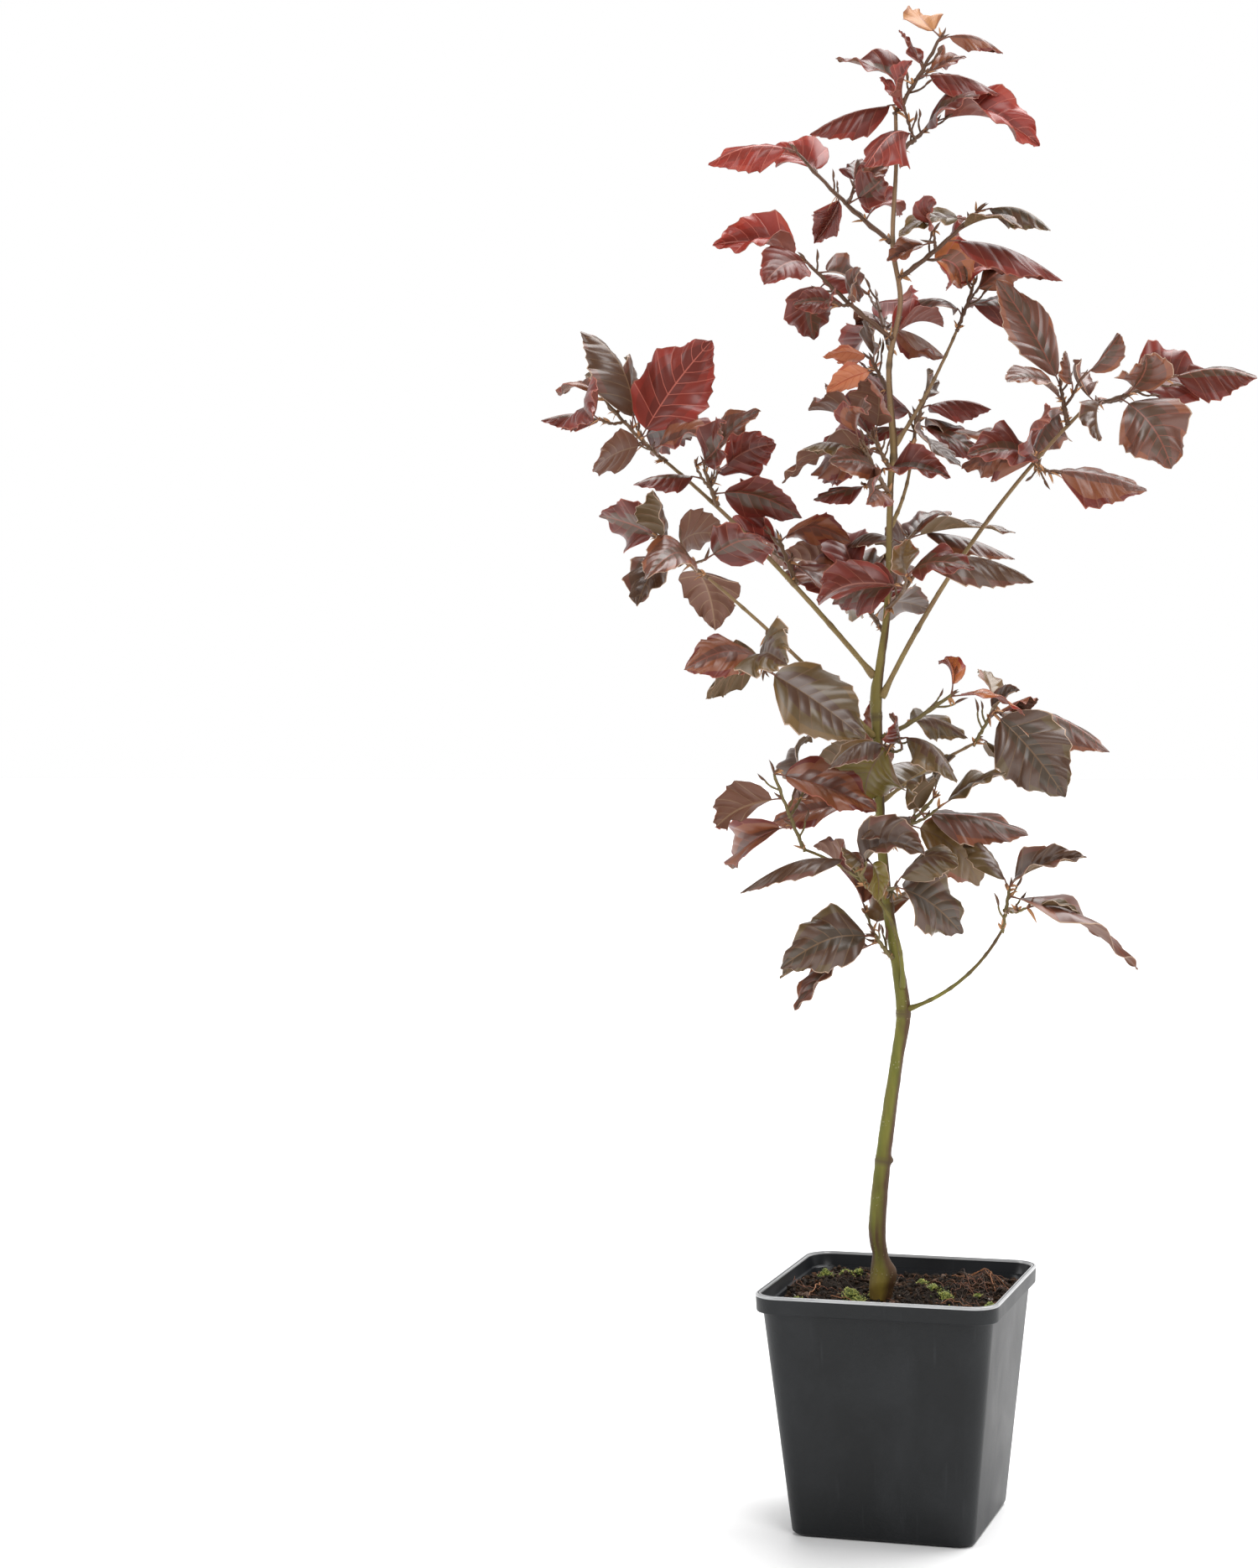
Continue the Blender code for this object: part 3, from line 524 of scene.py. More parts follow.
@dataclass
class Growth:
    """The seeded rule that grows limbs, side twigs and leaves, the same each time."""

    limbs: dict[str, Limb] = field(default_factory=dict)
    masses: dict[str, Mass] = field(default_factory=dict)
    room: Room = field(default_factory=Room)

    def grow(self) -> None:
        """Grow the trunk, the boughs, the stems and then each mass in turn."""
        knots = [Vector((*plant(across, back, up), thick * MM / 2)) for across, back, up, thick in TRUNK]
        path = along(knots, 1)
        axis, radii = [knot.xyz for knot in path], [knot.w for knot in path]
        self.limbs["trunk"] = Limb(axis, radii, (axis[0], UP))
        for bough in BOUGHS:
            self.limbs[bough.name] = self.bough(bough)
        for name, limb in self.limbs.items():
            self.room.add(name, loft(tube_rings(limb, TRUNK_SIDES)))
        for spray in SPRAYS:
            self.masses[spray.name] = Mass(self.stem(spray))
        for name, mass in self.masses.items():
            self.room.add(name, loft(tube_rings(mass.stem, STEM_SIDES)))
        for seed, spray in enumerate(SPRAYS):
            Filling(spray, self.masses[spray.name], self.room, Random(seed)).grow()

    def bough(self, bough: Bough) -> Limb:
        """A bough's limb, from its parent's bark to its end."""
        end = plant(*bough.end)
        parent = self.limbs[bough.parent]
        start = parent.at_height(bough.height)[0]
        control = start.lerp(end, 0.5) + plant(*bough.bow) * 2
        start, cut = foot(parent, bough.height, start.lerp(control, 0.5))
        thick, thin = bough.thick * MM / 2, bough.thin * MM / 2
        return tapering((start, control, end), STEPS_PER_BOUGH, thick, thin, cut)

    def stem(self, spray: Spray) -> Limb:
        """A mass's stem, bent a little upwards, from its limb to its own tip."""
        parent = self.limbs[spray.limb]
        base = parent.points[-1] if spray.height is None else parent.at_height(spray.height)[0]
        end = base + plant(*spray.reach)
        start, cut = foot(parent, spray.height, end)
        control = start.lerp(end, 0.5) - UP * (end - start).length * 0.06
        thick = min(STEM_THICK * MM / 2, parent.radii[-1]) if spray.height is None else STEM_THICK * MM / 2
        return tapering((start, control, end), STEPS_PER_STEM, thick, STEM_TIP_THICK * MM / 2, cut)


@dataclass
class Filling:
    """The growth of one mass's side twigs and leaves from its stem, by its own seeded choices."""

    spray: Spray
    mass: Mass
    room: Room
    rng: Random

    def grow(self) -> None:
        """Grow the side twigs, then the leaves of the stem and those of the twigs."""
        span = self.spray.leaf_length
        twigs = [self.twig(number) for number in range(self.spray.twigs)]
        self.mass.twigs = [twig for twig in twigs if twig]
        for order, (share, bearing, length) in enumerate(self.spray.leaves):
            self.try_leaf(order, self.mass.stem.at_share(share)[0], BroadSideAim(bearing, length, span))
        for twig in self.mass.twigs:
            ahead = (twig.points[-1] - twig.points[0]).normalized()
            across = ahead.cross(UP).normalized()
            for number in range(TWIG_LEAVES):
                way = ahead + across * (0.9 if number % 2 else -0.5)
                root = twig.at_share(1.0 if number == 0 else 0.55)[0]
                self.try_leaf(-1, root, FreeAim(way, span, 0.35))

    def twig(self, number: int) -> Limb | None:
        """Grow a side twig.

        Args:
            number: Which side twig of the mass it is.

        Returns:
            The twig, or None where every try touches something.
        """
        name, rng = self.spray.name, self.rng
        root, ahead = self.mass.stem.at_share((number + 0.7) / (self.spray.twigs + 0.5))
        facing = self.spray.facing or (-1) ** number
        radius = TWIG_THICK * MM / 2
        for _ in range(TRIES):
            tilt = rng.uniform(-0.9, 0.9)
            way = BACK * facing + ACROSS * tilt + UP * rng.uniform(-0.3, 0.7) + ahead * 0.4
            end = root + way.normalized() * rng.uniform(*TWIG_LENGTH) * MM
            middle = root.lerp(end, 0.5) - UP * MM
            twig = Limb([root, middle, end], [radius, radius * 0.9, radius * 0.75])
            wide = Limb(twig.points, [r + GAP for r in twig.radii])
            if self.room.clear(name, loft(tube_rings(wide, TWIG_SIDES))):
                self.room.add(name, loft(tube_rings(twig, TWIG_SIDES)))
                return twig
        return None

    def try_leaf(self, order: int, root: Vector, aim: "BroadSideAim | FreeAim") -> None:
        """Add the first seeded leaf that keeps clear, if there is one.

        Args:
            order: The leaf's number in its spray, or -1.
            root: Where its petiole starts.
            aim: Where it heads for.
        """
        for attempt in range(TRIES):
            way, length = aim.choose(self.rng, attempt)
            leaf = spread_leaf(root, way, length, self.rng)
            blade = leaf.solid(GAP / 2, blade_only=True)
            if self.room.clear(self.spray.name, leaf.solid(GAP), blade):
                self.room.add(self.spray.name, leaf.solid(), blade)
                self.mass.leaves.append((order, leaf))
                return


@dataclass(frozen=True)
class BroadSideAim:
    """An aim for a leaf seen on the broad side: what its length lacks there goes to the front or the back."""

    bearing: float
    length: float
    span: tuple[float, float]

    def choose(self, rng: Random, attempt: int) -> tuple[Vector, float]:
        """The leaf's way and its length in metres, for one attempt."""
        turned = radians(self.bearing + rng.uniform(-1, 1) * 2 * attempt)
        natural = rng.uniform(*self.span)
        depth = sqrt(max(natural * natural - self.length * self.length, 0.0))
        depth = min(depth, MOST_DEPTH) * rng.choice((-1, 1))
        reach = plant(self.length * cos(turned), depth, self.length * sin(turned))
        return reach.normalized(), reach.length


@dataclass(frozen=True)
class FreeAim:
    """An aim for a leaf of a side twig: near a way, looser at each attempt."""

    way: Vector
    span: tuple[float, float]
    loose: float

    def choose(self, rng: Random, attempt: int) -> tuple[Vector, float]:
        """The leaf's way and its length in metres, for one attempt."""
        spread = self.loose * (1 + attempt * 0.25)
        turned = self.way + plant(*(rng.uniform(-spread, spread) for _ in range(3))) / MM
        return turned.normalized(), rng.uniform(*self.span) * MM


def spread_leaf(root: Vector, way: Vector, length: float, rng: Random) -> Leaf:
    """Spread a leaf with a seeded arch, twist, width and turn of its blade.

    Args:
        root: Where its petiole starts.
        way: The way from its root to its tip.
        length: Its length in metres.
        rng: The mass's own seeded choices.

    Returns:
        The leaf.
    """
    tip = root + way * length
    flat = way.cross(BACK)
    flat = flat.normalized() if flat.length > 0.2 else ACROSS
    deep = flat.cross(way).normalized()
    shown = rng.uniform(*SHOWN)
    side = flat * shown + deep * sqrt(1 - shown * shown) * rng.choice((-1, 1))
    out = way.cross(side)
    if out.z < 0:
        side, out = -side, -out
    arch = rng.uniform(*ARCH) * length
    petiole = min(PETIOLE * MM, length * 0.16)
    width = (length - petiole) * rng.uniform(*WIDTH_SHARE)
    control = root.lerp(tip, 0.45) + out * arch * 2
    twist, fold = rng.uniform(*TWIST), rng.uniform(*FOLD)
    return Leaf(root, control, tip, side, twist, width, fold, petiole / length)


# ---- finishes


@dataclass(frozen=True)
class Finish:
    """A plain tint with its gloss and its silky hairs."""

    name: str
    colour: Colour
    roughness: float = 0.5
    specular: float = 0.5
    sheen: float = 0.0

    def material(self) -> bpy.types.Material:
        """The finish's material, made at its first use."""
        return bpy.data.materials.get(self.name) or self.build()

    def build(self) -> bpy.types.Material:
        """Make the material and set its shader.

        Returns:
            The new material.
        """
        material = bpy.data.materials.new(self.name)
        material.use_nodes = True
        nodes = Nodes(material.node_tree, material.node_tree.nodes["Principled BSDF"])
        gloss = {"Roughness": self.roughness, "Specular IOR Level": self.specular}
        hairs = {"Sheen Weight": self.sheen, "Sheen Roughness": 0.35, "Sheen Tint": SHEEN_TINT}
        nodes.feed(nodes.shader, {"Base Color": (*self.colour, 1.0), **gloss, **hairs})
        material.diffuse_color = (*self.colour, 1.0)
        self.pattern(nodes)
        return material

    def pattern(self, nodes: "Nodes") -> None:
        """Add what varies over the surface: nothing on a plain tint."""


@dataclass
class Nodes:
    """A node tree with its shader, and short ways to add to it."""

    tree: bpy.types.NodeTree
    shader: bpy.types.Node

    def feed(self, node: bpy.types.Node, inputs: dict[str | int, object]) -> None:
        """Give each of a node's inputs a socket to follow, or a value of its own."""
        for key, value in inputs.items():
            if isinstance(value, Socket):
                self.tree.links.new(value, node.inputs[key])
            else:
                node.inputs[key].default_value = value

    def new(self, kind: str, inputs: dict[str | int, object], **values: object) -> bpy.types.Node:
        """Add a node.

        Args:
            kind: The node's type name without its leading ShaderNode.
            inputs: What feeds its inputs.
            values: Its own properties by name.

        Returns:
            The new node.
        """
        node = self.tree.nodes.new("ShaderNode" + kind)
        for key, value in values.items():
            setattr(node, key, value)
        self.feed(node, inputs)
        return node

    def place(self, scale: Triple = EVEN) -> Socket:
        """The point on the piece in its own coordinates, stretched by a scale."""
        point = self.new("TexCoord", {}).outputs["Object"]
        return self.new("Mapping", {"Vector": point, "Scale": scale}).outputs["Vector"]

    def grain(self, scale: float, detail: float = 3.0, stretch: Triple = EVEN, warp: float = 0.0) -> Socket:
        """A cloudy pattern from 0 to 1.

        Args:
            scale: Clouds in a metre.
            detail: Octaves of finer clouds.
            stretch: Scale of each axis.
            warp: How far the clouds are warped.

        Returns:
            The pattern's value.
        """
        clouds = {"Scale": scale, "Detail": detail, "Distortion": warp}
        return self.new("TexNoise", {"Vector": self.place(stretch), **clouds}).outputs["Fac"]

    def mix(self, share: Socket, first: Socket | Colour, second: Socket | Colour) -> Socket:
        """Blend the second colour into the first by a share."""
        first, second = ((*tint, 1.0) if isinstance(tint, tuple) else tint for tint in (first, second))
        return self.new("Mix", {0: share, 6: first, 7: second}, data_type="RGBA").outputs[2]

    def both(self, operation: str, first: Socket, second: Socket) -> Socket:
        """The sum, product or other result of two values."""
        return self.new("Math", {0: first, 1: second}, operation=operation).outputs[0]

    def between(self, value: Socket, low: float, high: float, least: float = 0, most: float = 1) -> Socket:
        """Stretch a value from one range to another, and clamp it there."""
        ranges = {"From Min": low, "From Max": high, "To Min": least, "To Max": most}
        return self.new("MapRange", {"Value": value, **ranges}).outputs["Result"]

    def attribute(self, name: str) -> Socket:
        """A value that the piece's mesh keeps at each vertex."""
        return self.new("Attribute", {}, attribute_name=name).outputs["Fac"]

    def bump(self, height: Socket, strength: float, distance: float) -> None:
        """Add relief to the surface, after any that it has.

        Args:
            height: The relief's height from 0 to 1.
            strength: How strongly it shows.
            distance: Its depth in metres.
        """
        inputs = {"Height": height, "Strength": strength, "Distance": distance}
        normal = self.shader.inputs["Normal"]
        if normal.is_linked:
            inputs["Normal"] = normal.links[0].from_socket
        self.feed(self.shader, {"Normal": self.new("Bump", inputs).outputs["Normal"]})


@dataclass(frozen=True)
class BarkFinish(Finish):
    """Smooth young bark: olive green, browner by real brown and, on the trunk, by painted shade down one
    side, with pale lenticels.
    """

    brown: Colour = (0.088, 0.044, 0.018)
    old: Colour = (0.225, 0.200, 0.035)
    high: Colour = (0.235, 0.170, 0.054)  # up the leader
    tip: Colour = (0.245, 0.143, 0.082)
    scar: Colour = (0.085, 0.055, 0.028)
    lenticel: Colour = (0.300, 0.260, 0.130)
    amber: Colour = (0.350, 0.225, 0.045)  # at the foot of the trunk

    def pattern(self, nodes: Nodes) -> None:
        """Lay the brown (real, and painted shade down one side of the trunk), streaks, scars and lenticels
        over the green.
        """
        streaks = nodes.grain(420.0, 4.0, (1.0, 1.0, 0.16))
        patches = nodes.grain(95.0, 3.0, (1.0, 1.0, 0.5), 0.6)
        height = nodes.new("SeparateXYZ", {0: nodes.place()}).outputs["Z"]
        bark = nodes.mix(nodes.between(streaks, 0.35, 0.7, 0.0, 0.6), self.colour, self.old)
        bark = nodes.mix(nodes.between(height, 0.17, 0.36, 0.0, 0.85), bark, self.high)
        bark = nodes.mix(nodes.between(height, 0.34, 0.44, 0.0, 0.9), bark, self.tip)
        bark = nodes.mix(nodes.between(height, 0.084, 0.098, 0.75, 0.0), bark, self.amber)
        # painted shade: the brown value holds shade down one side of the trunk as well as real brown
        shade = nodes.both("ADD", nodes.attribute("brown"), nodes.between(patches, 0.3, 0.7, -0.28, 0.28))
        bark = nodes.mix(nodes.between(shade, 0.25, 0.75), bark, self.brown)
        bark = nodes.mix(nodes.attribute("scar"), bark, self.scar)
        cells = nodes.new("TexVoronoi", {"Vector": nodes.place(), "Scale": 900.0}).outputs["Distance"]
        here = nodes.between(nodes.grain(210.0, 1.0), 0.54, 0.64, 0.0, 0.7)
        spots = nodes.both("MULTIPLY", nodes.between(cells, 0.17, 0.30, 1.0, 0.0), here)
        rough = nodes.between(patches, 0.3, 0.7, 0.42, 0.62)
        nodes.feed(nodes.shader, {"Base Color": nodes.mix(spots, bark, self.lenticel), "Roughness": rough})
        nodes.bump(streaks, 0.35, 0.0003)
        nodes.bump(spots, 0.5, 0.0002)


@dataclass(frozen=True)
class PlasticFinish(Finish):
    """Moulded plastic: a fine grain, faint upright drag marks and dusty patches."""

    dust: Colour = (0.040, 0.043, 0.047)
    grain_strength: float = 0.25

    def pattern(self, nodes: Nodes) -> None:
        """Lay dust, drag marks and grain over the plastic."""
        clouds = nodes.grain(38.0, 5.0, (1.0, 1.0, 0.7), 0.4)
        drags = nodes.grain(300.0, 2.0, (1.0, 1.0, 0.045))
        dusty = nodes.mix(nodes.between(clouds, 0.45, 0.8, 0.0, 0.35), self.colour, self.dust)
        marked = nodes.mix(nodes.between(drags, 0.66, 0.82, 0.0, 0.30), dusty, self.dust)
        rough = nodes.between(clouds, 0.3, 0.7, self.roughness - 0.05, self.roughness + 0.07)
        nodes.feed(nodes.shader, {"Base Color": marked, "Roughness": rough})
        nodes.bump(nodes.grain(1500.0, 2.0), self.grain_strength, 0.00012)


@dataclass(frozen=True)
class SoilFinish(Finish):
    """Damp dark compost with paler crumbs."""

    pale: Colour = (0.040, 0.025, 0.016)

    def pattern(self, nodes: Nodes) -> None:
        """Lay crumbs of several sizes over the dark ground."""
        coarse = nodes.grain(260.0, 6.0)
        fine = nodes.grain(900.0, 4.0)
        crumbs = nodes.mix(nodes.between(fine, 0.45, 0.75, 0.0, 0.7), self.colour, self.pale)
        nodes.feed(nodes.shader, {"Base Color": crumbs})
        nodes.bump(coarse, 0.8, 0.0012)
        nodes.bump(fine, 0.6, 0.0005)


@dataclass(frozen=True)
class FloorFinish(Finish):
    """A matt pale studio floor with the faintest unevenness."""

    pale: Colour = (0.93, 0.93, 0.93)

    def pattern(self, nodes: Nodes) -> None:
        """Vary the tone by a hair."""
        tone = nodes.between(nodes.grain(3.0, 2.0), 0.3, 0.7)
        nodes.feed(nodes.shader, {"Base Color": nodes.mix(tone, self.colour, self.pale)})


BARK = BarkFinish("bark_green", (0.120, 0.123, 0.014), 0.5, 0.3)
YOUNG_BARK = BarkFinish(
    "bark_young", (0.290, 0.210, 0.080), 0.5, 0.3,
    brown=(0.225, 0.140, 0.068), old=(0.360, 0.280, 0.120), scar=(0.120, 0.072, 0.036),
)
TWIG_BROWN = Finish("twig_brown", (0.150, 0.085, 0.045), 0.5, 0.35)
TWIG_DARK = Finish("twig_dark", (0.105, 0.052, 0.028), 0.5, 0.35)
TWIG_OLIVE = Finish("twig_olive", (0.160, 0.120, 0.045), 0.5, 0.35)
PETIOLE_RED = Finish("petiole_red", (0.170, 0.070, 0.045), 0.5, 0.35)
BUD_BROWN = Finish("bud_brown", (0.120, 0.055, 0.028), 0.4, 0.4)
SCALE_TAN = Finish("bud_scale_tan", (0.450, 0.220, 0.095), 0.6)
POT_OUTSIDE = PlasticFinish("pot_outside", (0.008, 0.009, 0.010), 0.44, 0.25, grain_strength=0.6)
POT_INSIDE = PlasticFinish("pot_inside", (0.010, 0.011, 0.013), 0.30, 0.35, grain_strength=0.2)
# Painted highlight: the rim's lip is black plastic, painted pale grey where it catches the light.
POT_RIM_PAINTED_HIGHLIGHT = PlasticFinish("pot_rim", (0.420, 0.425, 0.430), 0.16, 0.9, grain_strength=0.02)
SOIL = SoilFinish("soil_dark", (0.012, 0.008, 0.005), 0.9, 0.2)
CRUMB_DARK = Finish("crumb_dark", (0.015, 0.010, 0.007), 0.85, 0.2)
CRUMB_BROWN = Finish("crumb_brown", (0.045, 0.025, 0.014), 0.9, 0.2)
CRUMB_WARM = Finish("crumb_warm", (0.075, 0.036, 0.019), 0.9, 0.2)
GRIT_PALE = Finish("grit_pale", (0.420, 0.380, 0.330), 0.6)
CHIP_RED = Finish("chip_red_brown", (0.200, 0.080, 0.038), 0.75)
CHIP_BROWN = Finish("chip_brown", (0.090, 0.048, 0.028), 0.8)
FIBRE_PINK = Finish("fibre_pink_brown", (0.190, 0.080, 0.045), 0.6, 0.3)
ROOT_ORANGE = Finish("root_orange", (0.300, 0.120, 0.045), 0.5, 0.4)
FIBRE_DARK = Finish("fibre_dark", (0.070, 0.042, 0.028), 0.7)
MOSS_BRIGHT = Finish("moss_bright", (0.420, 0.430, 0.110), 0.6)
MOSS_DEEP = Finish("moss_deep", (0.130, 0.165, 0.035), 0.65)
FLOOR = FloorFinish("floor_pale", (0.90, 0.90, 0.90), 0.9)


class Tint(Enum):
    """The tints of leaves: colour, then roughness and gloss where they aren't a usual leaf's."""

    # The crimsons are partly the leaves' own red and partly painted glow, light shining through them at the
    # top.
    CRIMSON = (0.285, 0.036, 0.024)
    CRIMSON_LIGHT = (0.360, 0.056, 0.036, 0.36)
    CLARET = (0.215, 0.033, 0.022)
    WINE = (0.145, 0.026, 0.018)
    WINE_DEEP = (0.108, 0.020, 0.012)
    DARK_BROWN = (0.078, 0.034, 0.016, 0.34, 0.68)
    PLUM = (0.122, 0.041, 0.023, 0.34, 0.66)
    RED_BROWN = (0.215, 0.066, 0.027, 0.36, 0.55)
    COAL_BROWN = (0.056, 0.033, 0.016, 0.34, 0.68)
    BRONZE = (0.146, 0.074, 0.020, 0.36, 0.60)
    BROWN = (0.154, 0.085, 0.024, 0.36, 0.60)
    UMBER = (0.102, 0.060, 0.019, 0.34, 0.66)
    OLIVE = (0.155, 0.112, 0.022)
    ORANGE = (0.430, 0.130, 0.041)
    SALMON = (0.560, 0.190, 0.088, 0.5)
    SALMON_DEEP = (0.430, 0.105, 0.050, 0.5)
    TAN = (0.460, 0.205, 0.080, 0.5)
    TAN_DEEP = (0.330, 0.130, 0.052, 0.5)
    VEIN_PINK = (0.450, 0.120, 0.086)
    VEIN_TAN = (0.160, 0.095, 0.052)
    VEIN_RED = (0.220, 0.070, 0.045)
    # Pale leaf margin: partly the silky hairs of the edge, partly a painted highlight where light catches it.
    MARGIN_PALE = (0.430, 0.290, 0.205, 0.45)
    MARGIN_PINK = (0.300, 0.085, 0.052, 0.5)
    UNDER_GREY_BROWN = (0.155, 0.096, 0.046, 0.5)
    UNDER_BROWN = (0.165, 0.069, 0.041, 0.5)
    UNDER_RED = (0.205, 0.056, 0.037, 0.5)
    UNDER_OLIVE = (0.160, 0.106, 0.038, 0.5)
    UNDER_SALMON = (0.600, 0.220, 0.105, 0.5)
    UNDER_VEIN = (0.231, 0.130, 0.072, 0.5)
    UNDER_VEIN_RED = (0.280, 0.092, 0.056, 0.5)

    def __init__(
        self, red: float, green: float, blue: float, rough: float = 0.33, gloss: float = 0.4
    ) -> None:
        """Make the tint's finish, with a trace of silky hairs."""
        self.finish = Finish("leaf_" + self.name.lower(), (red, green, blue), rough, gloss, 0.01)


@dataclass(frozen=True)
class Dress:
    """The tints of one leaf."""

    blade: Tint
    centre: Tint
    edge: Tint
    vein: Tint = Tint.VEIN_TAN
    margin: Tint = Tint.MARGIN_PALE
    under: Tint = Tint.UNDER_GREY_BROWN
    under_vein: Tint = Tint.UNDER_VEIN


RED_BACK = (Tint.MARGIN_PINK, Tint.UNDER_RED, Tint.UNDER_VEIN_RED)
BROWN_BACK = (Tint.MARGIN_PINK, Tint.UNDER_BROWN)
SALMON_BACK = (Tint.UNDER_SALMON, Tint.UNDER_SALMON)


class Look(Enum):
    """The looks that a leaf may have."""

    CRIMSON = Dress(Tint.CRIMSON, Tint.CLARET, Tint.CRIMSON_LIGHT, Tint.VEIN_PINK, *RED_BACK)
    CLARET = Dress(Tint.CLARET, Tint.WINE, Tint.CRIMSON, Tint.VEIN_PINK, *RED_BACK)
    WINE = Dress(Tint.WINE, Tint.WINE_DEEP, Tint.CLARET, Tint.VEIN_RED, *RED_BACK)
    DEEP = Dress(Tint.WINE_DEEP, Tint.DARK_BROWN, Tint.WINE, Tint.VEIN_RED, *BROWN_BACK)
    DARK = Dress(Tint.DARK_BROWN, Tint.DARK_BROWN, Tint.PLUM)
    PLUM = Dress(Tint.PLUM, Tint.DARK_BROWN, Tint.RED_BROWN, Tint.VEIN_RED, under=Tint.UNDER_BROWN)
    RUSSET = Dress(Tint.RED_BROWN, Tint.PLUM, Tint.WINE, Tint.VEIN_RED, *BROWN_BACK)
    BIG_DARK = Dress(Tint.DARK_BROWN, Tint.COAL_BROWN, Tint.UMBER)
    BRONZE = Dress(Tint.BRONZE, Tint.BROWN, Tint.RED_BROWN, under=Tint.UNDER_OLIVE)
    UMBER = Dress(Tint.UMBER, Tint.DARK_BROWN, Tint.BROWN)
    OLIVE = Dress(Tint.OLIVE, Tint.OLIVE, Tint.BRONZE, under=Tint.UNDER_OLIVE)
    SALMON = Dress(Tint.SALMON, Tint.SALMON, Tint.SALMON_DEEP, Tint.SALMON_DEEP, Tint.SALMON, *SALMON_BACK)
    TAN = Dress(Tint.TAN, Tint.TAN, Tint.TAN_DEEP, Tint.TAN_DEEP, Tint.TAN_DEEP, Tint.TAN, Tint.TAN_DEEP)
    EMBER = Dress(Tint.ORANGE, Tint.RED_BROWN, Tint.CRIMSON, Tint.VEIN_PINK, *RED_BACK)


# Looks by height on the plant, each with how often it comes up
# Painted glow: the brighter reds at the top stand partly for light shining through the leaves.
TOP_LOOKS = {Look.CRIMSON: 3, Look.CLARET: 5, Look.WINE: 6, Look.DEEP: 4, Look.RUSSET: 3, Look.PLUM: 2}
MIDDLE_LOOKS = {
    Look.CLARET: 1, Look.WINE: 4, Look.DEEP: 5, Look.PLUM: 4, Look.DARK: 3, Look.RUSSET: 3, Look.UMBER: 2,
}
LOW_LOOKS = {
    Look.DEEP: 1, Look.DARK: 4, Look.PLUM: 4, Look.UMBER: 4, Look.RUSSET: 3, Look.BRONZE: 2, Look.OLIVE: 1,
}


# ---- shape making


def show(name: str, data: bpy.types.ID) -> bpy.types.Object:
    """Put an object into the scene."""
    shown = bpy.data.objects.new(name, data)
    bpy.context.scene.collection.objects.link(shown)
    return shown


def as_mesh(name: str, bm: bmesh.types.BMesh) -> bpy.types.Mesh:
    """Make a mesh of a shape, and free the shape."""
    mesh = bpy.data.meshes.new(name)
    bm.to_mesh(mesh)
    bm.free()
    return mesh


@dataclass
class Work:
    """A piece while it is made: its mesh, and its finishes in the order of their slots."""

    name: str
    bm: bmesh.types.BMesh = field(default_factory=bmesh.new)
    finishes: list[Finish] = field(default_factory=list)

    def layer(self, name: str) -> bmesh.types.BMLayerItem:
        """A value kept at each vertex, made before the piece has any."""
        return self.bm.verts.layers.float.new(name)

    def slot(self, finish: Finish) -> int:
        """The number of a finish's slot, added at its first use."""
        if finish not in self.finishes:
            self.finishes.append(finish)
        return self.finishes.index(finish)

    def dress(self, faces: list[bmesh.types.BMFace], finish: Finish, smooth: bool = True) -> None:
        """Give faces a finish and smooth or flat shading."""
        slot = self.slot(finish)
        for face in faces:
            face.material_index = slot
            face.smooth = smooth

    def take(self, mesh: bpy.types.Mesh) -> None:
        """Add a finished mesh, whose slots are this piece's own, and remove it."""
        self.bm.from_mesh(mesh)
        bpy.data.meshes.remove(mesh)

    def done(self, kind: str, *nodes: str) -> bpy.types.Object:
        """Make the piece's object.

        Args:
            kind: The record's material slot; not used.
            nodes: The frame's nodes that it stands for.

        Returns:
            The object, riding on the plant's body.
        """
        mesh = as_mesh(self.name, self.bm)
        for finish in self.finishes:
            mesh.materials.append(finish.material())
        piece = show(self.name, mesh)
        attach(piece, BODY)
        if nodes:
            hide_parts(*nodes)
        LOG.info("%s: %d faces, %d finishes", self.name, len(mesh.polygons), len(self.finishes))
        return piece


@dataclass
class Tube:
    """A closed tube along a path, rolled from a grid and welded along its seam."""

    points: list[Vector]
    radii: list[float]
    sides: int
    flat: float = 1.0  # thickness one way as a share of the width the other way
    spots: list[tuple[bmesh.types.BMVert, int, Vector]] = field(default_factory=list)

    def build(self, work: Work, finish: Finish) -> "Tube":
        """Add the tube to a piece.

        Args:
            work: The piece.
            finish: The tube's finish.

        Returns:
            The tube, whose spots then hold each vertex, its row and the way out of the axis.
        """
        rows = len(self.points) - 1
        grid = bmesh.ops.create_grid(work.bm, x_segments=self.sides, y_segments=rows, size=1.0)["verts"]
        frames = path_frames(self.points)
        seam = []
        for vert in grid:
            column = round((vert.co.x + 1) / 2 * self.sides)
            row = round((vert.co.y + 1) / 2 * rows)
            turn = tau * column / self.sides
            side, other = frames[row]
            out = side * cos(turn) + other * sin(turn) * self.flat
            vert.co = self.points[row] + out * self.radii[row]
            self.spots.append((vert, row, out))
            if column in (0, self.sides):
                seam.append(vert)
        bmesh.ops.remove_doubles(work.bm, verts=seam, dist=1e-7)
        self.spots = [spot for spot in self.spots if spot[0].is_valid]
        rims = {edge for vert, row, _ in self.spots if row in (0, rows) for edge in vert.link_edges}
        bmesh.ops.holes_fill(work.bm, edges=[edge for edge in rims if edge.is_boundary], sides=0)
        faces = list({face for vert, _, _ in self.spots for face in vert.link_faces})
        bmesh.ops.recalc_face_normals(work.bm, faces=faces)
        work.dress(faces, finish)
        return self


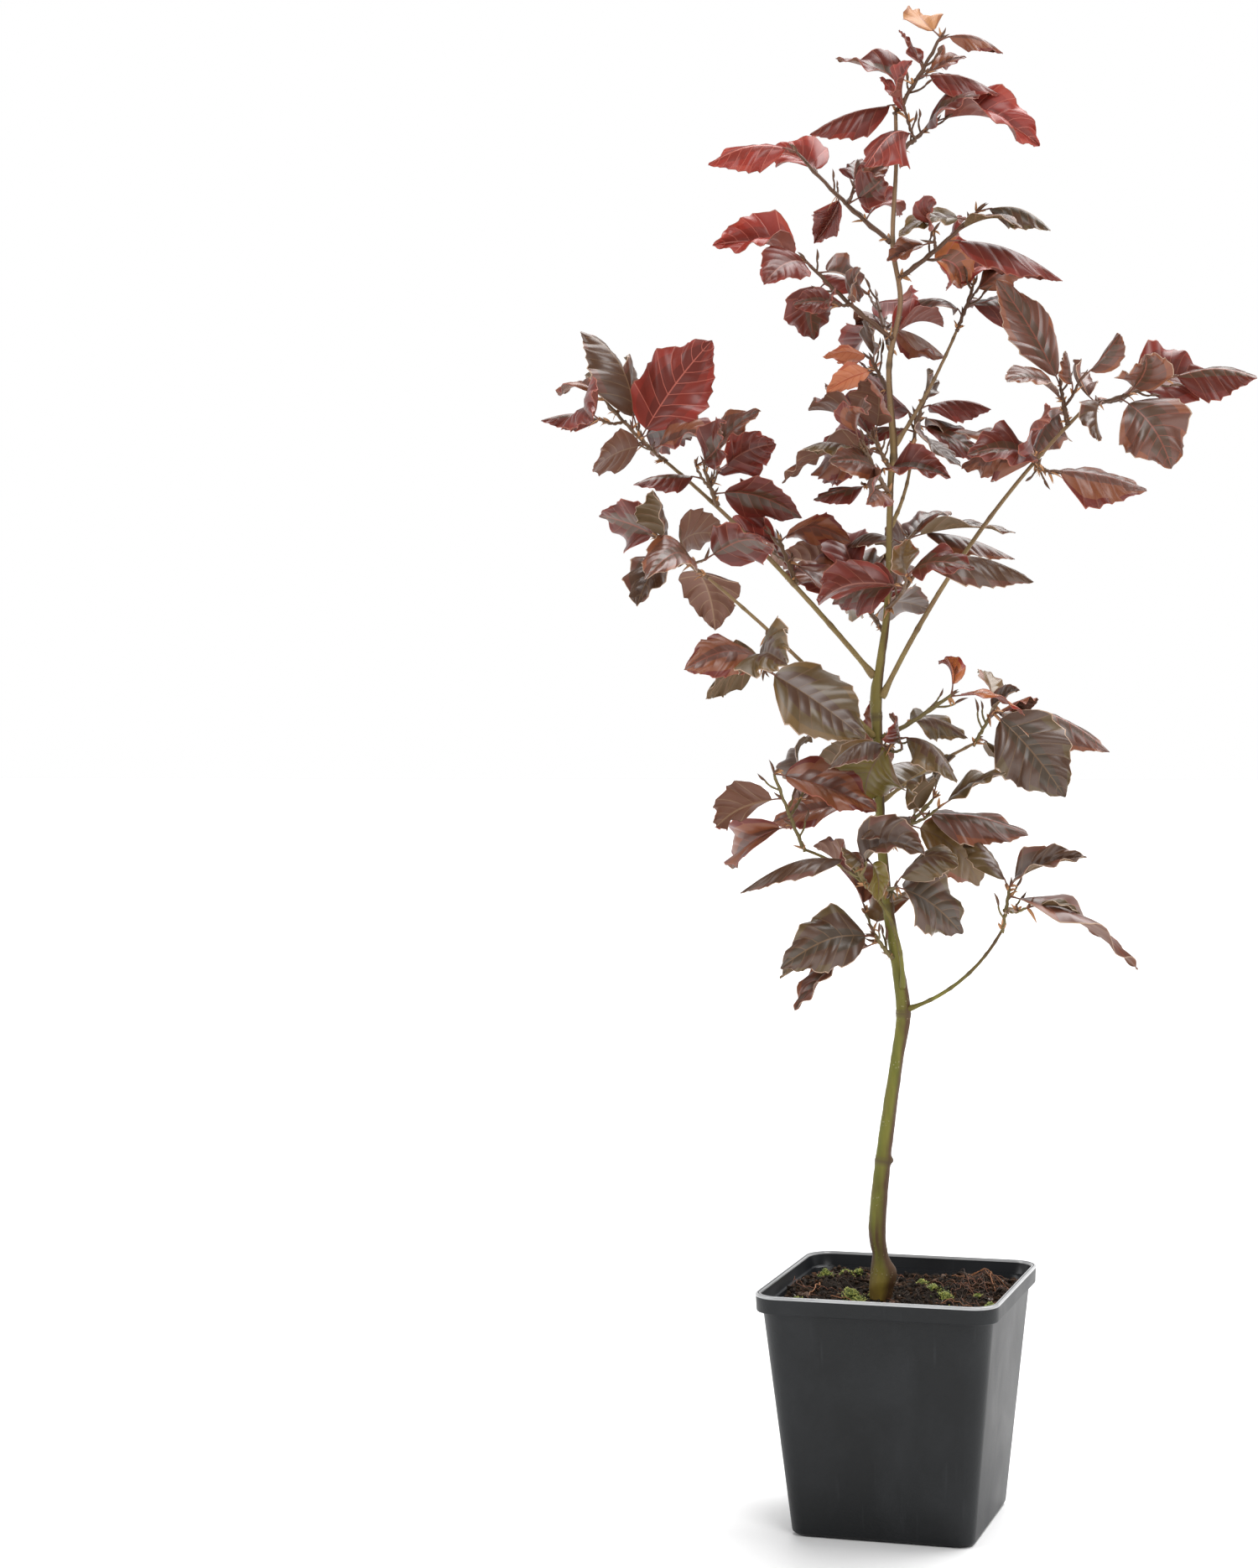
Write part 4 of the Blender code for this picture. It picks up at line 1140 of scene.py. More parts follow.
def copies(template: bmesh.types.BMesh, places: list[Matrix], slots: list[int]) -> bpy.types.Mesh:
    """Repeat a small shape at many places in one mesh.

    Args:
        template: The shape, which is freed.
        places: Where each copy goes.
        slots: Each copy's material slot.

    Returns:
        The mesh of all the copies.
    """
    corners = np.array([(*vert.co, 1.0) for vert in template.verts])
    faces = [[vert.index for vert in face.verts] for face in template.faces]
    template.free()
    moves = np.array([[list(row) for row in place] for place in places])
    points = np.einsum("nij,vj->nvi", moves, corners)[:, :, :3].reshape(-1, 3)
    count = len(corners)
    polygons = [[k + n * count for k in face] for n in range(len(places)) for face in faces]
    mesh = bpy.data.meshes.new("copies")
    mesh.from_pydata(points.tolist(), [], polygons)
    mesh.polygons.foreach_set("material_index", np.repeat(slots, len(faces)).astype(np.int32))
    return mesh


# ---- bark and twigs


@dataclass
class Bark:
    """The trunk and the boughs, with ring scars, collars at the forks and uneven bark. Sizes in mm."""

    growth: Growth
    trunk_sides: int = 28
    trunk_steps: int = 30
    bough_sides: int = 14
    bough_steps: int = 70
    ring_scars: tuple[float, ...] = (134.0, 189.0, 228.0, 299.0, 345.0, 394.0, 428.0, 473.0)
    scar_height: float = 0.26
    scar_spread: float = 0.55
    ripple: float = 0.14
    knobs: tuple[tuple[float, float, float, float], ...] = (
        (92.0, 3.2, 0.95, 0.3), (86.5, 2.6, 0.6, 2.4), (89.0, 2.2, 0.45, 1.4), (99.0, 2.6, -0.5, 2.9),
        (134.5, 1.1, 0.9, 0.1),
    )  # each knob of the trunk: height, spread, swell, and bearing from the right to the front
    leader_slim: float = 0.16
    bough_slim: float = 0.74
    bough_joints: tuple[float, ...] = (0.22, 0.41, 0.60, 0.80, 0.93)  # shares of a bough's length
    collar_length: float = 3.0
    collar_flare: float = 0.40
    sink: float = 1.6  # how far a bough's foot reaches into its parent

    def build(self) -> None:
        """Build the trunk and each bough as a piece of its own."""
        for name, limb in self.growth.limbs.items():
            if name == "trunk":
                self.trunk(limb)
            else:
                self.bough(name, limb)

    def trunk(self, limb: Limb) -> None:
        """Build the trunk: swollen at its base, with ring scars up to its tip.

        Args:
            limb: The trunk's axis and radii.
        """
        work = Work("bark_trunk")
        brown, scar = work.layer("brown"), work.layer("scar")
        points, radii = limb.fine(self.trunk_steps)
        for i, point in enumerate(points):
            radii[i] *= 1 - self.leader_slim * clamp(point.z / MM / 60 - 3.5)
        tube = Tube(points, radii, self.trunk_sides).build(work, BARK)
        # Painted shade: the trunk's bark is browned on its right side, where shade falls.
        painted_shade_side = (ACROSS * 0.98 + BACK * 0.17).normalized()
        for vert, row, out in tube.spots:
            height = points[row].z / MM
            ring, near = self.rings(height)
            base = exp(-max(height - 82.0, 0.0) / 7.0)
            bearing = atan2(out.y, out.x)
            lobes = base * (0.45 * sin(3 * bearing + 0.8) + 0.35 * sin(5 * bearing) - 0.8)
            lobes -= 0.7 * hump(height - 100, 6)
            for centre, spread, swell, way in self.knobs:
                facing = max(out.dot((ACROSS * cos(way) - BACK * sin(way))), 0.0)
                lobes += swell * facing**1.5 * hump(height - centre, spread)
            uneven = noise.noise(vert.co * 330.0) * self.ripple + noise.noise(vert.co * 900.0) * 0.05
            thin = min(1.0, radii[row] / (1.6 * MM))
            vert.co += out * ((ring + uneven) * thin + lobes) * MM
            crack = max(0.0, 1 - abs(height - 107) / 13) * hump(out.dot(ACROSS) + 0.1, 0.16)
            crack += hump(height - 103, 9) * hump(out.dot(ACROSS) + 0.95, 0.3)
            cracked = crack * 0.7 if out.dot(BACK) < 0.3 else 0.0
            vert[brown] = self.brown_and_painted_shade(height, out.dot(painted_shade_side)) + cracked
            vert[scar] = near
        work.done("bark", "trunk")

    def rings(self, height: float) -> tuple[float, float]:
        """Find how far the ring scars lift the bark.

        Args:
            height: Height in mm.

        Returns:
            The lift in mm, and how much of a scar the place is, from 0 to 1.
        """
        lift = 0.0
        for centre in self.ring_scars:
            for offset, share in ((-1.0, 0.6), (0.0, 1.0), (1.1, 0.7)):
                lift += share * hump(height - centre - offset, self.scar_spread)
        return lift * self.scar_height, min(lift * 0.75, 0.85)

    @staticmethod
    def brown_and_painted_shade(height: float, toward_painted_shade: float) -> float:
        """How brown the bark is: painted shade down one side, real brown at its base, less near its tip and
        at the fork.
        """
        # painted shade down one side of the trunk
        side = 0.85 * max(toward_painted_shade + 0.10, 0.0)
        base = 0.12 * exp(-max(height - 84.0, 0.0) / 10.0)
        top = -0.2 * clamp((height - 380) / 60)
        fork = -0.25 * hump(height - 308, 22)
        return 0.22 + side + base + top + fork

    def bough(self, name: str, limb: Limb) -> None:
        """Build a bough: flared where it leaves its parent, with a ring at each joint.

        Args:
            name: The frame's node.
            limb: The bough's axis and radii.
        """
        work = Work("bark_" + name)
        brown, scar = work.layer("brown"), work.layer("scar")
        points, radii = limb.fine(self.bough_steps)
        ahead = (points[1] - points[0]).normalized()
        points = [points[0] - ahead * self.sink * MM, points[0] - ahead * self.sink * MM / 2, *points]
        radii = [radii[0], radii[0], *radii]
        length = (points[-1] - points[0]).length / MM
        travelled = [0.0]
        for a, b in zip(points, points[1:]):
            travelled.append(travelled[-1] + (b - a).length / MM)
        joints = [share * length for share in self.bough_joints]
        for i, far in enumerate(travelled):
            flare = self.collar_flare * hump(far - self.sink, self.collar_length)
            knob = sum(0.16 * hump(far - joint, 1.0) for joint in joints)
            radii[i] *= self.bough_slim + flare + knob
        low = name.endswith("_foot")
        tube = Tube(points, radii, self.bough_sides).build(work, BARK if low else YOUNG_BARK)
        for vert, row, _ in tube.spots:
            near = min(abs(travelled[row] - joint) for joint in joints)
            vert[brown] = 0.38 + (0.15 if low else 0.45) * travelled[row] / length
            vert[scar] = 0.6 * hump(near, 0.8)
            vert.co += noise.noise_vector(vert.co * 500.0) * 0.07 * MM
        work.done("bark", name)


@dataclass
class TwigKit:
    """The woody parts of one mass: stem, side twigs, leaf stalks, buds and papery bud scales. Sizes in mm."""

    name: str
    mass: Mass
    bark: Finish
    rng: Random
    sides: int = 8
    sink: float = 1.0
    stalk_thick: float = 0.85
    stalk_thin: float = 0.6
    bud_length: tuple[float, float] = (3.2, 6.0)
    bud_thick: float = 1.15
    scale_length: tuple[float, float] = (2.6, 5.5)
    bud_chance: float = 0.75  # at each leaf's foot
    scale_chance: float = 0.6
    spur_length: tuple[float, float] = (3.5, 8.0)
    spurs: int = 3

    def build(self) -> None:
        """Build the piece that stands for the mass's wood."""
        work = Work("twigs_" + self.name)
        stem = self.mass.stem
        self.shoot(work, stem, 16, self.sides)
        for twig in self.mass.twigs:
            self.shoot(work, twig, 8, 6)
        for _, leaf in self.mass.leaves:
            self.stalk(work, leaf)
            if self.rng.random() < self.bud_chance:
                self.bud(work, leaf.root, self.between_ways(leaf))
            if self.rng.random() < self.scale_chance:
                self.scales(work, leaf.root, self.between_ways(leaf))
        foot_way = (stem.points[1] - stem.points[0]).normalized()
        for _ in range(2):
            self.scales(work, stem.points[0], foot_way)
        self.bud(work, stem.points[-1], (stem.points[-1] - stem.points[-2]).normalized())
        for _ in range(self.spurs):
            self.spur(work)
        work.done("bark")

    def between_ways(self, leaf: Leaf) -> Vector:
        """A way between a leaf's stalk and the stem's own way."""
        stem = self.mass.stem
        ahead = (stem.points[-1] - stem.points[0]).normalized()
        stalk = (leaf.control - leaf.root).normalized()
        return (ahead * 0.7 + stalk * 0.8 + shift(self.rng, 0.35)).normalized()

    def shoot(self, work: Work, limb: Limb, steps: int, sides: int) -> None:
        """Build a stem or twig that starts inside its parent and swells at its joints.

        Args:
            work: The piece.
            limb: The stem or twig.
            steps: Rows along it.
            sides: Sides round it.
        """
        points, radii = limb.fine(steps)
        ahead = (points[1] - points[0]).normalized()
        points = [points[0] - ahead * self.sink * MM, *points]
        radii = [radii[0] * 1.25, *radii]
        wobble = (points[-1] - points[0]).orthogonal().normalized() * 0.22 * MM
        count = len(points) - 1
        for i in range(1, count):
            points[i] = points[i] + wobble * sin(i * 1.9)
            radii[i] = radii[i] * (1 + 0.22 * max(sin(i * 1.9 + 0.6), 0.0) ** 3)
        radii[-1] *= 0.7
        Tube(points, radii, sides).build(work, self.bark)

    def stalk(self, work: Work, leaf: Leaf) -> None:
        """Build a leaf's stalk, from inside the stem to the foot of the blade."""
        shares = [leaf.petiole * 1.25 * k / 5 for k in range(6)]
        points = [leaf.frame(share)[0] for share in shares]
        thick, thin = self.stalk_thick * MM / 2, self.stalk_thin * MM / 2
        radii = [thick * 1.25, thick, thin * 1.1, thin, thin, thin * 0.5]
        Tube(points, radii, 6).build(work, PETIOLE_RED)

    def bud(self, work: Work, root: Vector, way: Vector) -> None:
        """Build a slim pointed bud.

        Args:
            work: The piece.
            root: Where it sits.
            way: Where it points.
        """
        length = self.rng.uniform(*self.bud_length) * MM
        bow = way.orthogonal() * length * 0.06
        shares = (0.0, 0.15, 0.35, 0.6, 0.82, 1.0)
        girths = (0.45, 0.8, 1.0, 0.82, 0.42, 0.03)
        points = [root + way * length * share + bow * sin(pi * share) for share in shares]
        radii = [self.bud_thick * MM / 2 * girth * min(length / (4.5 * MM), 1.0) for girth in girths]
        Tube(points, radii, 7).build(work, BUD_BROWN)

    def scales(self, work: Work, root: Vector, way: Vector) -> None:
        """Build one to three curled papery scales that hang at a shoot's foot."""
        for _ in range(self.rng.randint(2, 4)):
            length = self.rng.uniform(*self.scale_length) * MM
            start = (way + shift(self.rng, 0.8)).normalized()
            drop = UP * -length * self.rng.uniform(0.1, 0.7)
            points = [root + start * length * t + drop * t * t for t in (0.05, 0.3, 0.55, 0.8, 1.0)]
            wide = self.rng.uniform(0.4, 0.75) * MM
            radii = [wide * girth for girth in (0.5, 1.0, 0.9, 0.55, 0.1)]
            Tube(points, radii, 6, flat=0.14).build(work, SCALE_TAN)

    def spur(self, work: Work) -> None:
        """Build a fine side twig that ends in a bud."""
        root, ahead = self.mass.stem.at_share(self.rng.uniform(0.15, 0.95))
        loose = any_way(self.rng)
        out = (loose - ahead * loose.dot(ahead)).normalized()
        way = (out + ahead * 0.9 + UP * 0.3).normalized()
        length = self.rng.uniform(*self.spur_length) * MM
        bend = out * length * 0.12
        shares = (0, 0.2, 0.4, 0.6, 0.8, 1.0)
        points = [root + way * length * t + bend * sin(pi * t) for t in shares]
        radii = [radius * MM for radius in (0.45, 0.4, 0.46, 0.36, 0.42, 0.3)]
        Tube(points, radii, 6).build(work, self.bark)
        self.bud(work, points[-1] - way * 0.3 * MM, (way + UP * 0.25).normalized())


@dataclass(frozen=True)
class Habit:
    """How a leaf bends: each range is drawn from for one leaf. Angles in radians."""

    fold: tuple[float, float]  # lift of each half at the midrib
    opens: tuple[float, float]  # how much of the fold is lost by the tip
    roll: tuple[float, float]  # how far each half bends down again by its edge
    turn: tuple[float, float]  # twist from foot to tip, to either hand
    nod: tuple[float, float]  # how far the tip hangs, as a share of the length


class Bend(Enum):
    """The ways in which a leaf may be bent."""

    OPEN = Habit((0.10, 0.40), (0.1, 0.5), (0.3, 0.8), (0.0, 0.4), (0.0, 0.10))
    CUPPED = Habit((0.45, 0.80), (0.0, 0.4), (0.4, 1.1), (0.1, 0.6), (0.0, 0.12))
    FOLDED = Habit((0.85, 1.20), (0.0, 0.4), (0.2, 0.7), (0.2, 0.8), (0.0, 0.12))
    TWISTED = Habit((0.60, 1.00), (0.6, 1.0), (0.2, 0.7), (0.9, 1.5), (0.0, 0.10))
    HANGING = Habit((0.20, 0.60), (0.2, 0.6), (0.4, 1.0), (0.1, 0.6), (0.15, 0.30))
    SADDLE = Habit((-0.75, -0.35), (0.0, 0.4), (0.2, 0.8), (0.1, 0.5), (0.05, 0.20))
    CURLED = Habit((-0.60, -0.20), (0.2, 0.7), (-1.2, -0.5), (0.3, 0.9), (0.05, 0.20))


# How often each bend comes up
BENDS = {
    Bend.OPEN: 3, Bend.CUPPED: 4, Bend.FOLDED: 3, Bend.TWISTED: 3, Bend.HANGING: 3, Bend.SADDLE: 4,
    Bend.CURLED: 1,
}


@dataclass(frozen=True)
class Manner:
    """How one leaf is held, looked at from the plant's broad side."""

    look: Look
    bend: Bend
    turns: tuple[float, float] | None = None  # degrees at foot and tip: 0 shows the face, 90 its edge
    wide: float = 1.0  # shares of the grown leaf's width and length
    reach: float = 1.0


# The masses whose side twigs carry only small leaves
SPARSE = frozenset((
    "top_right", "top_left", "upper_right", "upper_left", "right_spur", "right_far", "right_middle",
    "right_small", "right_foot", "left_foot", "centre",
))

# The leaves whose manner is settled: each mass's leaves by number
SETTLED = {
    "tip": {
        0: Manner(Look.TAN, Bend.CUPPED, (25, 0), 1.1, 1.1),
        1: Manner(Look.RUSSET, Bend.SADDLE, (20, 105), 0.85),
        2: Manner(Look.WINE, Bend.CURLED, (30, 80), 1.15),
        3: Manner(Look.DEEP, Bend.TWISTED, (30, 95), 1.05, 1.08), 4: Manner(Look.WINE, Bend.SADDLE, (20, 70)),
        5: Manner(Look.WINE, Bend.SADDLE, (60, 45), 0.9),
        -1: Manner(Look.RUSSET, Bend.CUPPED, (40, 60), 1.05, 0.85),
    },
    "top_right": {
        0: Manner(Look.CRIMSON, Bend.FOLDED, (85, 5), 1.05),
        1: Manner(Look.CLARET, Bend.SADDLE, (45, 40), 1.1, 1.15),
        2: Manner(Look.DEEP, Bend.HANGING, (70, 90), 1.1, 0.95),
    },
    "top_left": {
        0: Manner(Look.CRIMSON, Bend.SADDLE, (55, 45)), 1: Manner(Look.CRIMSON, Bend.CUPPED, (40, 20)),
        2: Manner(Look.WINE, Bend.FOLDED, (10, 10)), 3: Manner(Look.DEEP, Bend.CUPPED, (30, 10), 1.2, 0.8),
        4: Manner(Look.CLARET, Bend.CUPPED, (60, 20)),
    },
    "upper_right": {
        0: Manner(Look.UMBER, Bend.HANGING, (50, 75), 0.8),
        1: Manner(Look.BIG_DARK, Bend.SADDLE, (60, 45), 0.9),
        2: Manner(Look.DARK, Bend.TWISTED, (95, 70), 0.7), 3: Manner(Look.EMBER, Bend.OPEN, (20, 0), 1.2),
        4: Manner(Look.WINE, Bend.SADDLE, (60, 80), 0.8),
    },
    "upper_left": {
        0: Manner(Look.CRIMSON, Bend.FOLDED, (85, 0)), 1: Manner(Look.WINE, Bend.OPEN, (40, 20), 1.1),
        2: Manner(Look.PLUM, Bend.CUPPED, (60, 30)), 3: Manner(Look.DEEP, Bend.CUPPED, (30, 10), 1.1),
        4: Manner(Look.PLUM, Bend.TWISTED, (80, 60), 0.8, 0.8),
    },
    "right_top": {
        0: Manner(Look.CLARET, Bend.CUPPED, (40, 0), 1.4), 1: Manner(Look.EMBER, Bend.OPEN, (30, 10), 1.1),
        2: Manner(Look.PLUM, Bend.SADDLE, (75, 65), 0.8), 3: Manner(Look.DEEP, Bend.SADDLE, (50, 30)),
    },
    "right_spur": {
        0: Manner(Look.PLUM, Bend.OPEN, (40, 15), 0.8), 1: Manner(Look.PLUM, Bend.TWISTED, (90, 60), 0.8),
        2: Manner(Look.PLUM, Bend.SADDLE, (55, 40), 1.1),
        -1: Manner(Look.PLUM, Bend.SADDLE, (60, 50), 0.9, 0.6),
    },
    "right_far": {
        0: Manner(Look.WINE, Bend.CUPPED, (20, 25), 1.3, 1.05),
        1: Manner(Look.DEEP, Bend.SADDLE, (45, 55), 1.2, 0.92),
        2: Manner(Look.PLUM, Bend.OPEN, (20, 0), 1.35), 3: Manner(Look.DARK, Bend.SADDLE, (50, 35), 0.9, 0.9),
        4: Manner(Look.PLUM, Bend.FOLDED, (60, 45), 0.9, 0.9),
        5: Manner(Look.PLUM, Bend.CUPPED, (30, 0), 1.25, 0.9),
        -1: Manner(Look.PLUM, Bend.TWISTED, (85, 60), 0.7, 0.55),
    },
    "right_outer": {
        0: Manner(Look.RUSSET, Bend.SADDLE, (50, 50), 1.35), 1: Manner(Look.RUSSET, Bend.SADDLE, (55, 35)),
        2: Manner(Look.PLUM, Bend.TWISTED, (95, 70), 0.8),
    },
    "right_inner": {
        0: Manner(Look.WINE, Bend.SADDLE, (75, 30), 0.9), 1: Manner(Look.PLUM, Bend.SADDLE, (80, 60), 0.8),
        2: Manner(Look.DARK, Bend.TWISTED, (95, 60), 0.8),
        3: Manner(Look.DARK, Bend.FOLDED, (60, 60), 0.7, 0.7), 4: Manner(Look.DEEP, Bend.SADDLE, (70, 60)),
    },
    "right_near": {
        0: Manner(Look.PLUM, Bend.SADDLE, (80, 70), 0.8), 1: Manner(Look.DARK, Bend.TWISTED, (95, 70), 0.75),
        2: Manner(Look.DARK, Bend.SADDLE, (80, 60), 0.7),
    },
    "front_middle": {
        0: Manner(Look.DARK, Bend.SADDLE, (85, 55), 0.85),
        1: Manner(Look.BRONZE, Bend.CUPPED, (40, 10), 0.85, 0.85),
        2: Manner(Look.DEEP, Bend.OPEN, (35, 20), 1.1),
    },
    "left_far": {0: Manner(Look.DARK, Bend.SADDLE, (60, 40)), 1: Manner(Look.CLARET, Bend.OPEN, (30, 10))},
    "left_under": {0: Manner(Look.UMBER, Bend.OPEN, (35, 20), 1.1)},
    "young": {
        0: Manner(Look.SALMON, Bend.CUPPED), 1: Manner(Look.SALMON, Bend.CUPPED),
        2: Manner(Look.DARK, Bend.CUPPED), -1: Manner(Look.SALMON, Bend.FOLDED, None, 0.8, 0.7),
    },
    "right_middle": {
        0: Manner(Look.BIG_DARK, Bend.OPEN, (25, -5), 1.15), 1: Manner(Look.PLUM, Bend.SADDLE, (60, 40), 0.9),
        2: Manner(Look.DARK, Bend.FOLDED, (60, 60), 0.7, 0.7),
        3: Manner(Look.UMBER, Bend.SADDLE, (80, 65), 0.7),
    },
    "right_low": {
        0: Manner(Look.PLUM, Bend.SADDLE, (55, 35), 0.9), 1: Manner(Look.DARK, Bend.SADDLE, (70, 60), 0.9),
        2: Manner(Look.BRONZE, Bend.OPEN, (30, 10)), 3: Manner(Look.UMBER, Bend.FOLDED, (80, 70), 0.7, 0.6),
    },
    "right_small": {
        0: Manner(Look.EMBER, Bend.FOLDED, (40, 10), 0.95, 0.8),
        1: Manner(Look.EMBER, Bend.HANGING, (80, 86), 0.7), 2: Manner(Look.UMBER, Bend.SADDLE, (60, 50)),
    },
    "right_foot": {
        0: Manner(Look.DARK, Bend.FOLDED, (70, 45), 0.85), 1: Manner(Look.UMBER, Bend.SADDLE, (60, 50), 0.9),
        2: Manner(Look.PLUM, Bend.HANGING, (76, 86), 0.85),
        -1: Manner(Look.UMBER, Bend.FOLDED, (80, 60), 0.6, 0.5),
    },
    "left_foot": {
        0: Manner(Look.DARK, Bend.SADDLE, (80, 75), 0.6), 1: Manner(Look.DARK, Bend.FOLDED, (60, 35)),
    },
    "low": {
        0: Manner(Look.UMBER, Bend.FOLDED, (80, 70), 0.8),
        1: Manner(Look.BIG_DARK, Bend.HANGING, (30, 5), 1.15),
        2: Manner(Look.PLUM, Bend.TWISTED, (85, 60), 0.7),
    },
    "centre": {
        0: Manner(Look.OLIVE, Bend.OPEN, (25, -5), 1.3), 1: Manner(Look.UMBER, Bend.SADDLE, (60, 50)),
        2: Manner(Look.DARK, Bend.SADDLE, (75, 60), 0.7),
    },
    "centre_low": {
        0: Manner(Look.BIG_DARK, Bend.OPEN, (45, 10)), 1: Manner(Look.UMBER, Bend.SADDLE, (75, 50), 0.9),
    },
}


@dataclass
class Blade:
    """One leaf blade: pleated between straight side veins, toothed, wavy, with its own fold and droop."""

    leaf: Leaf
    manner: Manner
    rng: Random
    thickness: float = 0.22 * MM
    vein_lean: float = 0.8  # how far the side veins run forward
    tooth: float = 0.11  # depth of the teeth as a share of the half width
    broader: float = 1.18  # its width as a share of the frame's solid leaf's
    fewest_veins: int = 5
    vein_lengths: tuple[float, ...] = (15 * MM, 23 * MM, 33 * MM)  # each brings one pair of veins more
    midrib: float = 0.30 * MM  # half width
    columns: tuple[float, ...] = (0.05, 0.26, 0.50, 0.76, 0.975, 1.0)
    phases: tuple[float, ...] = (0.03, 0.22, 0.50, 0.78, 0.97)  # rows from one side vein to the next

    def __post_init__(self) -> None:
        """Draw what is the leaf's own."""
        rng = self.rng
        self.dress, self.bend = self.manner.look.value, self.manner.bend.value
        self.wide = self.manner.wide * self.manner.reach * self.broader
        self.length = (self.leaf.tip - self.leaf.root).length * self.manner.reach
        blade = self.length * (1 - self.leaf.petiole)
        self.veins = self.fewest_veins + sum(blade > length for length in self.vein_lengths)
        self.bulge = blade / self.veins * rng.uniform(0.09, 0.17)
        self.folds = [rng.uniform(*self.bend.fold) for _ in range(2)]
        self.rolls = [rng.uniform(*self.bend.roll) + 0.02 for _ in range(2)]
        self.opens = rng.uniform(*self.bend.opens)
        self.turn = rng.uniform(*self.bend.turn) * rng.choice((-1, 1))
        self.nod = rng.uniform(*self.bend.nod) * self.length
        self.ruffle = self.leaf.width * self.wide * rng.uniform(0.05, 0.13)
        self.waves = rng.uniform(2.0, 3.4)
        self.phase = rng.uniform(0, tau)
        self.panels = [rng.uniform(0.5, 1.4) for _ in range(2 * self.veins + 2)]
        self.patches = [rng.random() for _ in range(4 * self.veins + 4)]
        _, side, out = self.leaf.frame(0.6)
        # A leaf that would show its underside to the broad side is as often turned over
        self.over = -1 if out.dot(BACK) > 0.1 and rng.random() < 0.6 else 1
        self.upright = 1 if side.cross(out).cross(BACK).dot(UP + ACROSS * 0.2) > 0 else -1

    def frame(self, s: float) -> tuple[Vector, Vector, Vector]:
        """The midrib's point, the way across and the way out, at a share of the blade's length."""
        stalk = self.leaf.petiole
        centre, side, out = self.leaf.frame(stalk + (1 - stalk) * s * self.manner.reach)
        ahead = side.cross(out)
        centre = centre - UP * self.nod * 2.0 * max(s - 0.3, 0.0) ** 2 * (1 - abs(ahead.z))
        if self.manner.turns is None:
            twist = Matrix.Rotation(self.turn * (s - 0.5) * min(s * 6, 1.0), 3, ahead)
            return centre, twist @ side * self.over, twist @ out * self.over
        face = (ahead * ahead.dot(BACK) - BACK).normalized()
        top = face.cross(ahead) * self.upright
        foot, tip = self.manner.turns
        angle = radians(foot + (tip - foot) * s)
        out = face * cos(angle) + top * sin(angle)
        return centre, out.cross(ahead), out

    def section(self, s: float, wide: float, hand: int) -> tuple[float, float, float]:
        """Follow one half of the blade out from the midrib.

        Args:
            s: Share of the blade's length.
            wide: Share of the half width, from 0 to 1.
            hand: 0 for the left half and 1 for the right.

        Returns:
            How far across and how far out, as shares of the half width, and the slope there.
        """
        fold, roll = self.folds[hand] * (1 - self.opens * s), self.rolls[hand]
        slope = fold - roll * wide
        return (sin(fold) - sin(slope)) / roll, (cos(slope) - cos(fold)) / roll, slope

    def point(self, far: float, across: float) -> Vector:
        """A point of the upper face.

        Args:
            far: Where the side vein through it leaves the midrib, from 0 to 1.
            across: From -1 at one edge to 1 at the other.

        Returns:
            The point in metres.
        """
        wide = abs(across)
        s = min(far + self.vein_lean * far**0.6 * (1 - far) * wide, 1.0)
        centre, side, out = self.frame(s)
        half = self.leaf.half_width(s) * self.wide
        full = min(half / (self.leaf.width * self.wide / 2), 1.0)
        if wide <= self.columns[0]:
            x = min(half * wide, self.midrib * full**0.5)
            return centre + side * copysign(x, across) - out * 0.1 * MM
        place = far * self.veins
        phase = place % 1.0
        hand = 0 if across < 0 else 1
        step = (phase - 0.04) % 1.0
        half *= 1 + self.tooth * (step**2.2 - 0.25) * wide**5
        x, z, slope = self.section(s, wide, hand)
        envelope = min(wide / 0.35, 1.0) * full**0.7 * (1 - 0.25 * wide**3)
        pleat = self.bulge * self.panels[int(place) * 2 + hand] * sin(pi * phase) ** 0.8 * envelope
        swing = sin(far * self.waves * tau + self.phase + hand * 2.1)
        rise = pleat + self.ruffle * swing * wide**2.5 * full**0.5
        x = x * half - rise * sin(slope)
        z = z * half + rise * cos(slope)
        return centre + side * copysign(1, across) * x + out * z

    def build(self, work: Work) -> None:
        """Add the blade to a piece, as a thin closed shell.

        Args:
            work: The piece.
        """
        rows = [0.0]
        for vein in range(self.veins):
            rows += [(vein + phase) / self.veins for phase in self.phases]
        rows.append(1.0)
        ways = [-across for across in reversed(self.columns)] + list(self.columns)
        last_column, last_row = len(ways) - 1, len(rows) - 1
        bm = bmesh.new()
        grid = bmesh.ops.create_grid(bm, x_segments=last_column, y_segments=last_row, size=1.0)["verts"]
        places = {}
        for vert in grid:
            column = round((vert.co.x + 1) / 2 * last_column)
            row = round((vert.co.y + 1) / 2 * last_row)
            places[vert] = (column, row)
            vert.co = self.point(rows[row], ways[column])
        for face in bm.faces:
            column = min(places[vert][0] for vert in face.verts)
            row = min(places[vert][1] for vert in face.verts)
            face.material_index = work.slot(self.tint(column, row).finish)
        bmesh.ops.remove_doubles(bm, verts=bm.verts, dist=2e-6)
        bm.normal_update()
        lower, lower_verts = list(bm.faces), list(bm.verts)
        bmesh.ops.extrude_face_region(bm, geom=lower, use_keep_orig=True)
        for vert, normal in zip(lower_verts, [vert.normal.copy() for vert in lower_verts]):
            vert.co -= normal * self.thickness
        bmesh.ops.reverse_faces(bm, faces=lower)
        kinds = (self.dress.vein, self.dress.under, self.dress.under_vein)
        veins, under, under_vein = (work.slot(tint.finish) for tint in kinds)
        for face in lower:
            face.material_index = under_vein if face.material_index == veins else under
        for face in bm.faces:
            face.smooth = True
        work.take(as_mesh("blade", bm))

